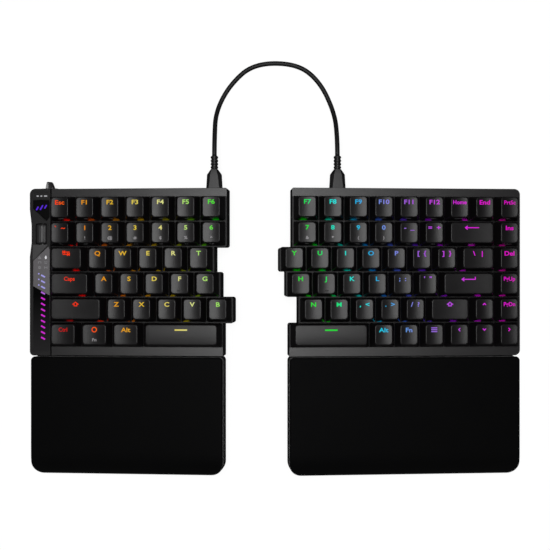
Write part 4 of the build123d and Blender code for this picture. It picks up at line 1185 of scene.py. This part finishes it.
class Cap:
    """One keycap's sizes: half widths at its rim, and how its faces lean in."""

    def __init__(self, row, start, share):
        self.height = CAP_HEIGHTS[row - 1]
        self.wide = (share * PITCH - CAP_SIDE_GAP) / 2
        self.deep = (PITCH - CAP_GAP) / 2
        self.a = (start + share / 2) * PITCH
        self.b = (ROWS - row + 1 / 2) * PITCH
        self.crowned = share == SPACE_SHARE

    def sides(self, lean, inset):
        """Lowest and highest a and b at a share of the lean and an inset."""
        wide = self.wide - CAP_SIDE * lean - inset
        return (-wide, wide, CAP_FRONT * lean + inset - self.deep, self.deep - CAP_REAR * lean - inset)

    def dip(self, a, b):
        """Height of the top's curve over its own level."""
        if self.crowned:
            middle = (CAP_FRONT - CAP_REAR) / 2
            share = (b - middle) / (self.deep - (CAP_FRONT + CAP_REAR) / 2)
            return CAP_CROWN * max(0.0, 1 - share * share)
        share = a / (self.wide - CAP_SIDE)
        return -CAP_DISH * max(0.0, 1 - share * share)

    def ring(self, lean, inset, level, radius, curved=True, scale=1.0):
        """One ring of points, flat or following the top's curve."""
        a_low, a_high, b_low, b_high = self.sides(lean, inset)
        middle = (b_low + b_high) / 2
        points = rounded_rectangle(a_low, a_high, b_low, b_high, radius)
        points = [(a * scale, middle + (b - middle) * scale) for a, b in points]
        return [(a, b, level + (self.dip(a, b) if curved else 0.0)) for a, b in points]

    def solid(self):
        """Vertices and faces round the cap's own middle, its rim at zero."""
        high = self.height
        roof, edge = high - CAP_ROOF, high - CAP_ROUNDING
        rings = [
            self.ring(roof / high, CAP_WALL, roof, CAP_HOLLOW_CORNER, False),
            self.ring(0.0, CAP_WALL, 0.0, CAP_HOLLOW_CORNER, False),
            self.ring(0.0, CAP_LIP, 0.0, CAP_LIP_CORNER, False),
            self.ring(0.0, 0.0, CAP_LIP, CAP_RIM_CORNER, False),
            self.ring(edge / high, 0.0, edge, CAP_CORNER),
        ]
        for turn in CAP_TURNS:
            inset = CAP_ROUNDING * (1 - math.cos(math.radians(turn)))
            level = edge + CAP_ROUNDING * math.sin(math.radians(turn))
            rings.append(self.ring(min(level / high, 1.0), inset, level, CAP_CORNER))
        rings += [self.ring(1.0, CAP_ROUNDING, high, CAP_CORNER, True, scale) for scale in CAP_TOP_RINGS]
        return lofted(rings)

    def stem(self):
        """The slider under the cap."""
        low, high = STEM_LOW - RIM_LEVEL, self.height - CAP_ROOF
        rings = []
        for level, inset in ((low, STEM_EDGE), (low + STEM_EDGE, 0.0), (high, 0.0)):
            wide, deep = STEM_WIDE / 2 - inset, STEM_DEEP / 2 - inset
            points = rounded_rectangle(-wide, wide, -deep, deep, STEM_CORNER, corner_steps=2, side_steps=1)
            rings.append([(a, b, level) for a, b in points])
        return lofted(rings)

    def top(self, a, b):
        """Height of the top's surface over the rim."""
        return self.height + self.dip(a, b)


# Legends: each is lettering or a few strokes, in millimetres round its own middle.
LEGEND_HEIGHT = 3.3
LOWER_HEIGHT = 2.2
LONG_HEIGHT = 3.0
LEGEND_THICK = 0.04
LEGEND_BACK = 4.35
LEGEND_FRONT = -3.2
STROKE = 0.70
SPACE_STROKE = 1.1
STROKE_STRETCH = 2.0
RING_RADIUS = 1.7
RING_SIDES = 16
CAPITAL_SHARE = 0.72
LETTER_STRETCH = 1.22
LETTER_STEPS = 3
LETTER_WEIGHT = 0.032
WORD_WEIGHT = 0.024
ARROW_OUTLINE = [
    (0, 1.4), (-2.0, -0.1), (-1.0, -0.1), (-1.0, -1.3), (1.0, -1.3), (1.0, -0.1), (2.0, -0.1), (0, 1.4)
]
RING_TURNS = [2 * math.pi * i / RING_SIDES for i in range(RING_SIDES + 1)]
RING_OUTLINE = [(RING_RADIUS * math.cos(turn), RING_RADIUS * math.sin(turn)) for turn in RING_TURNS]
STROKES = {
    "tab": [
        [(-2.5, 1.6), (-2.5, 0.1)], [(-2.0, 0.85), (2.2, 0.85)], [(-1.0, 1.6), (-2.0, 0.85), (-1.0, 0.1)],
        [(2.5, -0.1), (2.5, -1.6)], [(-2.2, -0.85), (2.0, -0.85)], [(1.0, -0.1), (2.0, -0.85), (1.0, -1.6)],
    ],
    "shift": [ARROW_OUTLINE],
    "back": [[(-5.0, 0), (5.0, 0)], [(-3.6, 1.1), (-5.0, 0), (-3.6, -1.1)]],
    "enter": [[(5.0, 1.0), (5.0, -0.5), (-5.0, -0.5)], [(-3.6, 0.6), (-5.0, -0.5), (-3.6, -1.6)]],
    "space": [[(-4.15, 0.0), (4.15, 0.0)]],
    "ring": [RING_OUTLINE],
    "list": [[(-1.9, 1.4), (1.9, 1.4)], [(-1.9, 0.0), (1.9, 0.0)], [(-1.9, -1.4), (1.9, -1.4)]],
    "up": [[(-0.95, -0.4), (0, 0.5), (0.95, -0.4)]],
    "down": [[(-0.95, 0.4), (0, -0.5), (0.95, 0.4)]],
    "left": [[(0.4, -0.95), (-0.5, 0), (0.4, 0.95)]],
    "right": [[(-0.4, -0.95), (0.5, 0), (-0.4, 0.95)]],
}
HOMING_LETTERS = ("F", "J")
HOMING_BACK = -4.6
HOMING_WIDE = 1.7
HOMING_DEEP = 0.35
HOMING_CORNER = 0.12
HOMING_RINGS = ((-0.2, 0.0), (0.2, 0.0), (0.32, 0.15))
PRINT_ROWS = 2
PRINT_LEAST = 2
PRINT_CHANGE = 3
PRINT_PITCH = 1.5
PRINT_WIDE = 0.5
PRINT_THICK = 0.05
PRINT_SHARES = (0.50, 0.62)


def run(start, legends, share=1.0):
    """Keys side by side: where each starts, its width share, its upper legend and its lower one."""
    keys = []
    for i, legend in enumerate(legends):
        upper, lower = legend if isinstance(legend, tuple) else (legend, "")
        keys.append((start + i * share, share, upper, lower))
    return keys


LEFT_KEYS = {
    "left_function_keys": (1, run(0, ["Esc", "F1", "F2", "F3", "F4", "F5", "F6"])),
    "left_number_keys": (
        2, run(0, ["`  ~", ("1", "!"), ("2", "@"), ("3", "#"), ("4", "$"), ("5", "%"), ("6", "^")])
    ),
    "left_tab_key": (3, run(0, ["tab"], 1.5)),
    "left_upper_letter_keys": (3, run(1.5, list("QWERT"))),
    "left_caps_key": (4, run(0, ["Caps"], 1.75)),
    "left_home_letter_keys": (4, run(1.75, list("ASDFG"))),
    "left_shift_key": (5, run(0, ["shift"], 2.25)),
    "left_lower_letter_keys": (5, run(2.25, list("ZXCVB"))),
    "left_control_key": (6, run(0, ["Ctrl"], 1.25)),
    "left_super_key": (6, run(1.25, [("ring", "Fn")], 1.25)),
    "left_alt_key": (6, run(2.5, ["Alt"], 1.25)),
    "left_space_bar": (6, run(3.75, ["space"], SPACE_SHARE)),
}
RIGHT_KEYS = {
    "right_function_keys": (1, run(0, ["F7", "F8", "F9", "F10", "F11", "F12", "Home", "End", "PrtSc"])),
    "right_number_keys": (
        2, run(0, [("7", "&"), ("8", "*"), ("9", "("), ("0", ")"), "-  _", "=  +"]) + run(8, ["Ins"])
    ),
    "right_backspace_key": (2, run(6, ["back"], 2.0)),
    "right_upper_letter_keys": (3, run(-0.5, list("YUIOP") + ["[  {", "]  }"]) + run(8, ["Del"])),
    "right_backslash_key": (3, run(6.5, ["\\   |"], 1.5)),
    "right_home_letter_keys": (4, run(-0.25, list("HJKL") + [";  :", "'  \""]) + run(8, ["PgUp"])),
    "right_enter_key": (4, run(5.75, ["enter"], 2.25)),
    "right_lower_letter_keys": (5, run(0.25, ["N", "M", ",  <", ".  >", "/  ?"]) + run(7, ["up", "PgDn"])),
    "right_shift_key": (5, run(5.25, ["shift"], 1.75)),
    "right_space_bar": (6, run(-0.125, ["space"], SPACE_SHARE)),
    "right_bottom_row_keys": (6, run(3, ["Alt", "Fn", "list", "left", "down", "right"])),
}
KEY_GROUPS = {"left": LEFT_KEYS, "right": RIGHT_KEYS}


def long_word(text):
    """True of a word too long for the usual letters."""
    return len(text) > 3 and "  " not in text


def lettering(text, height):
    """Vertices and faces of a word, its capitals of that height."""
    long = long_word(text)
    curve = bpy.data.curves.new("lettering", "FONT")
    curve.body = text
    curve.size = height / CAPITAL_SHARE
    curve.align_x = "CENTER"
    curve.offset = (WORD_WEIGHT if long else LETTER_WEIGHT) * height
    curve.extrude = LEGEND_THICK
    curve.resolution_u = LETTER_STEPS
    holder = linked("lettering", curve)
    data = as_mesh(holder)
    removed(holder)
    stretch = 1.0 if long else LETTER_STRETCH
    points = [(v.co.x * stretch, v.co.y - height / 2, v.co.z) for v in data.vertices]
    faces = [list(p.vertices) for p in data.polygons]
    bpy.data.meshes.remove(data)
    return points, faces


def stroked(lines, width):
    """Vertices and faces of strokes of one width along some lines, in short stretches."""
    shapes = []
    for line in lines:
        for start, end in zip(line, line[1:]):
            first, last = Vector(start), Vector(end)
            along = (last - first).normalized() * width / 2
            side = Vector((-along.y, along.x))
            low, high = first - along, last + along
            count = max(1, round((high - low).length / STROKE_STRETCH))
            rings = []
            for k in range(count + 1):
                here = low + (high - low) * k / count
                sides = ((here + side, -1), (here + side, 1), (here - side, 1), (here - side, -1))
                rings.append([(place.x, place.y, up * LEGEND_THICK) for place, up in sides])
            shapes.append(lofted(rings))
    return together(shapes)


def draped(shape, cap, a, b):
    """A flat shape laid on a cap's top, its middle at a and b from the cap's own middle."""
    points, faces = shape
    laid = []
    for x, y, z in points:
        here_a, here_b = x + a, y + b
        laid.append((here_a + cap.a, here_b + cap.b, z + RIM_LEVEL + cap.top(here_a, here_b)))
    return laid, faces


def legend_parts(cap, upper, lower):
    """The legends of one cap: the lit one at the back of its top, the printed one at the front."""
    if upper in STROKES:
        shape = stroked(STROKES[upper], SPACE_STROKE if upper == "space" else STROKE)
    else:
        shape = lettering(upper, LONG_HEIGHT if long_word(upper) else LEGEND_HEIGHT)
    parts = [(*draped(shape, cap, 0.0, LEGEND_BACK), LEGEND_LIGHT)]
    if lower:
        parts.append((*draped(lettering(lower, LOWER_HEIGHT), cap, 0.0, LEGEND_FRONT), SECOND_PRINT))
    return parts


def homing_bar(cap):
    """The small ridge on a home key."""
    rings = []
    for level, inset in HOMING_RINGS:
        wide, deep = HOMING_WIDE - inset, HOMING_DEEP - inset
        points = rounded_rectangle(-wide, wide, -deep, deep, HOMING_CORNER, corner_steps=2, side_steps=1)
        rings.append([(a, b, level) for a, b in points])
    points, faces = lofted(rings)
    return moved(points, cap.a, cap.b + HOMING_BACK, RIM_LEVEL + cap.top(0.0, HOMING_BACK)), faces


def front_print(cap, count):
    """Faint small marks on the front face of a cap."""
    shapes = []
    for k in range(count):
        a = cap.a + (k - (count - 1) / 2) * PRINT_PITCH
        rings = []
        for share in PRINT_SHARES:
            b, level = cap.b - cap.deep + CAP_FRONT * share, RIM_LEVEL + cap.height * share
            corners = ((-1, -1), (1, -1), (1, 1), (-1, 1))
            rings.append([(a + i * PRINT_WIDE, b + j * PRINT_THICK, level) for i, j in corners])
        shapes.append(lofted(rings))
    return together(shapes)


def make_keys(side, place):
    """The caps of each group of one half's keys with their stems, and their legends."""
    for node, (row, keys) in KEY_GROUPS[side].items():
        caps, marks = [], []
        for start, share, upper, lower in keys:
            cap = Cap(row, start, share)
            for points, faces in (cap.solid(), cap.stem()):
                caps.append((moved(points, cap.a, cap.b, RIM_LEVEL), faces, CAP_PLASTIC))
            if upper in HOMING_LETTERS:
                caps.append((*homing_bar(cap), CAP_PLASTIC))
            marks += legend_parts(cap, upper, lower)
            if row <= PRINT_ROWS:
                count = PRINT_LEAST + (row + len(upper)) % PRINT_CHANGE
                marks.append((*front_print(cap, count), FRONT_PRINT))
        settle(flat_kept(mesh_of(node + "_caps", caps, place)), node, (node,))
        settle(mesh_of(node + "_legends", marks, place), node)


# The small lens on the plate behind each switch: its sizes and its place from the key's middle.
LENS_SIZES = (4.6, 2.2, 0.42, 0.4)
LENS_SHIFT = 1.6
LENS_BACK = 7.4
LENS_SINK = 0.2


def make_key_lamps(tiles, side, place):
    """The key lamps of one half, under its keycaps."""
    shift = LENS_SHIFT if side == "left" else -LENS_SHIFT
    caps = [Cap(row, *key[:2]) for row, keys in KEY_GROUPS[side].values() for key in keys]
    points = [(cap.a + shift, cap.b + LENS_BACK, PLATE_TOP - LENS_SINK) for cap in caps]
    lamps = tiled(side + "_key_lamps", tiles, LENS_SIZES, 0.0, LAMP_LENS, points, place)
    settle(lamps, side + "_half")


# Wrist rests; their inner sides are given in key widths.
REST_GAP = 0.6
REST_OVERHANG = 0.4
REST_INNER_LEFT = 6.845
REST_INNER_RIGHT = -0.115
REST_INNER_GAP = 0.6
REST_BASE = 6.0
REST_TOP = 18.3
REST_CROWN = 0.4
REST_FRONT = -97.6
REST_REAR = FRONT_EDGE - REST_GAP
REST_INSET = 0.3
REST_ROUNDING = 1.5
REST_FRONT_REACH = 16.0
REST_FRONT_DROP = 4.0
REST_FRONT_CURVE = 2.2
REST_SEAM = 9.2
REST_CORNERS = (9.2, 3.3, 3.3, 9.2)
REST_LEAST_CORNER = 0.6
REST_SIDES = {
    "left": (-PANEL_SIDE - REST_OVERHANG, REST_INNER_LEFT * PITCH + REST_INNER_GAP),
    "right": (REST_INNER_RIGHT * PITCH - REST_INNER_GAP, RIGHT_SIDE + REST_OVERHANG),
}
TRAY_ROUNDING = 0.5

# A pad's rings from its foot up, each an inset and a level; then its shoulder, an inset and a height over
# the top; then the turns of its rounded edge and the insets of its top.
PAD_WALL = [
    (1.6, REST_BASE), (0.5, REST_BASE + 0.05), (0.1, REST_BASE + 0.5),
    (0.15, REST_SEAM - 0.35), (0.5, REST_SEAM - 0.12), (0.5, REST_SEAM + 0.12), (0.2, REST_SEAM + 0.35),
    (0.35, REST_SEAM + 1.8),
]
PAD_SHOULDER = (0.12, -REST_ROUNDING - 0.6)
PAD_TURNS = (0.0, 22.5, 45.0, 67.5, 90.0)
PAD_TOP_INSETS = (2.5, 4.0, 6.5, 9.5, 13.0, 17.5, 23.0, 29.0, 35.0, 40.0, 43.5)
PAD_SHARP_ANGLE = 60.0


def pad_top(a, b, a_low, a_high):
    """Height of a wrist pad: crowned, and rolled down towards its front."""
    rear, front = REST_REAR - REST_INSET, REST_FRONT + REST_INSET
    along = (b - (rear + front) / 2) / ((rear - front) / 2)
    across = (a - (a_low + a_high) / 2) / ((a_high - a_low) / 2)
    top = REST_TOP + REST_CROWN * (1 - along * along) * (1 - across ** 4)
    lost = max(0.0, (front + REST_FRONT_REACH - b) / REST_FRONT_REACH)
    return top - REST_FRONT_DROP * lost ** REST_FRONT_CURVE


def pad_outline(sides, inset):
    """Points round a wrist pad at an inset from its side."""
    radii = [max(radius - inset, REST_LEAST_CORNER) for radius in REST_CORNERS]
    inset += REST_INSET
    return rounded_rectangle(
        sides[0] + inset, sides[1] - inset, REST_FRONT + inset, REST_REAR - inset, radii,
        corner_steps=8, side_steps=22,
    )


def make_rest(side, place):
    """A wrist rest's soft pad and its tray."""
    sides = REST_SIDES[side]
    rings = [[(a, b, level) for a, b in pad_outline(sides, inset)] for inset, level in PAD_WALL]
    turns = [math.radians(turn) for turn in PAD_TURNS]
    upper = [PAD_SHOULDER]
    upper += [(REST_ROUNDING * (1 - math.cos(turn)), REST_ROUNDING * (math.sin(turn) - 1)) for turn in turns]
    upper += [(inset, 0.0) for inset in PAD_TOP_INSETS]
    for inset, depth in upper:
        rings.append([(a, b, depth + pad_top(a, b, *sides)) for a, b in pad_outline(sides, inset)])
    pad = mesh_of(side + "_wrist_pad", [(*lofted(rings), PAD_SKIN)], place)
    settle(pad, side + "_wrist_rest", (side + "_rest_pad",), PAD_SHARP_ANGLE)
    tray = softened(side + "_rest_base", side + "_rest_tray", TRAY_ROUNDING)
    dress(tray, REST_PLASTIC, side + "_wrist_rest", (side + "_rest_base",))


# Screws on the undersides: piece, body, half and places.
SCREW_LEVEL = -0.4
REST_SCREW_REAR = FRONT_EDGE - 10.0
REST_SCREW_FRONT = -91.0
SCREWS = [
    ("left_case_screws", "left_half", LEFT,
     [(-11.0, 21.0), (-11.0, 92.0), (62.0, 4.0), (62.0, 112.0), (122.0, 6.0), (126.0, 110.0)]),
    ("right_case_screws", "right_half", RIGHT,
     [(167.0, 21.0), (167.0, 92.0), (85.0, 4.0), (85.0, 112.0), (6.0, 6.0), (8.0, 110.0)]),
    ("left_rest_screws", "left_wrist_rest", LEFT,
     [(a, b) for b in (REST_SCREW_REAR, REST_SCREW_FRONT) for a in (30.0, 90.0)]),
    ("right_rest_screws", "right_wrist_rest", RIGHT,
     [(a, b) for b in (REST_SCREW_REAR, REST_SCREW_FRONT) for a in (60.0, 120.0)]),
]


def make_screws():
    """Screws on the undersides of the cases and the wrist rests."""
    tree = screw_tree()
    values = {"Head material": DARK_STEEL, "Socket material": FOOT_RUBBER}
    for name, body, place, places in SCREWS:
        settle(grown(name, tree, values, [(a, b, SCREW_LEVEL) for a, b in places], place), body)


def finish_inner_parts():
    """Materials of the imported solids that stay: switches, boards, battery and sockets."""
    for node, material in (
        ("left_switches", SWITCH_PLASTIC), ("right_switches", SWITCH_PLASTIC),
        ("left_circuit_board", BOARD_RESIST), ("right_circuit_board", BOARD_RESIST),
        ("left_battery", BATTERY_WRAP), ("left_link_port", BRIGHT_STEEL),
        ("left_host_port", BRIGHT_STEEL), ("right_link_port", BRIGHT_STEEL),
    ):
        coat(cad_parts[node], material)


# Light and floor.
FLOOR_HALF = 6.0
FLOOR_LEVEL = -0.0001
FLOOR_GLOW = 1.03
FLOOR_GLOW_SHARE = 0.89
FLOOR_WHITE = (0.85, 0.85, 0.85, 1.0)
FLOOR_DARK = (0.03, 0.03, 0.03, 1.0)
LAMP_SIZE = 0.78
LAMP_POWER = 25.0
LAMP_PLACE = (-0.04, 0.12, 1.6)
WORLD_LEVEL = 0.012
HORIZON_LEVEL = 0.35
HORIZON_LOW = 0.1
HORIZON_HIGH = 0.8


def make_floor():
    """A white floor that keeps the object's shadow, and is dark to scattered light."""
    work = bmesh.new()
    bmesh.ops.create_grid(work, x_segments=1, y_segments=1, size=FLOOR_HALF)
    data = bpy.data.meshes.new("floor")
    work.to_mesh(data)
    work.free()
    floor = linked("floor", data)
    floor.location.z = FLOOR_LEVEL
    material, tree, shader = new_material("floor")
    tree.nodes.remove(shader)
    path = tree.nodes.new("ShaderNodeLightPath").outputs
    seen = maths(tree, "MAXIMUM", path["Is Camera Ray"], path["Is Transmission Ray"])
    glow = chained(tree, "ShaderNodeEmission", {"Strength": FLOOR_GLOW}).outputs[0]
    white = chained(tree, "ShaderNodeBsdfDiffuse", {"Color": FLOOR_WHITE}).outputs[0]
    dark = chained(tree, "ShaderNodeBsdfDiffuse", {"Color": FLOOR_DARK}).outputs[0]
    pale = chained(tree, "ShaderNodeMixShader", {"Fac": FLOOR_GLOW_SHARE, 1: white, 2: glow}).outputs[0]
    both = chained(tree, "ShaderNodeMixShader", {"Fac": seen, 1: dark, 2: pale}).outputs[0]
    feed(tree, tree.nodes["Material Output"], {"Surface": both})
    data.materials.append(material)


def make_light():
    """One broad lamp near the camera's axis, and a dim world that is brighter near the horizon."""
    data = bpy.data.lights.new("broad lamp", "AREA")
    data.shape = "DISK"
    data.size = LAMP_SIZE
    data.energy = LAMP_POWER
    linked("broad lamp", data).location = LAMP_PLACE
    world = bpy.data.worlds.new("world")
    world.use_nodes = True
    tree = world.node_tree
    direction = separated(tree, tree.nodes.new("ShaderNodeTexCoord").outputs["Generated"])
    level = chained(tree, "ShaderNodeMapRange", {
        "Value": direction["Z"], "From Min": HORIZON_LOW, "From Max": HORIZON_HIGH,
        "To Min": HORIZON_LEVEL, "To Max": WORLD_LEVEL,
    }, interpolation_type="SMOOTHSTEP")
    seen = tree.nodes.new("ShaderNodeLightPath").outputs["Is Camera Ray"]
    strength = maths(tree, "MAXIMUM", level.outputs["Result"], seen)
    feed(tree, tree.nodes["Background"], {"Color": (1.0, 1.0, 1.0, 1.0), "Strength": strength})
    scene.world = world


def make_keyboard():
    """Every piece, the camera and the cable first."""
    set_camera()
    make_cable([make_plug(side, place) for side, place in SIDES])
    tiles = tile_tree()
    make_housings()
    make_side_panel()
    make_lights(tiles)
    make_wheel()
    make_lever()
    for side, place in SIDES:
        make_keys(side, place)
        make_key_lamps(tiles, side, place)
        make_rest(side, place)
    make_screws()
    finish_inner_parts()
    make_floor()
    make_light()


make_keyboard()
scene.view_settings.view_transform = "Standard"
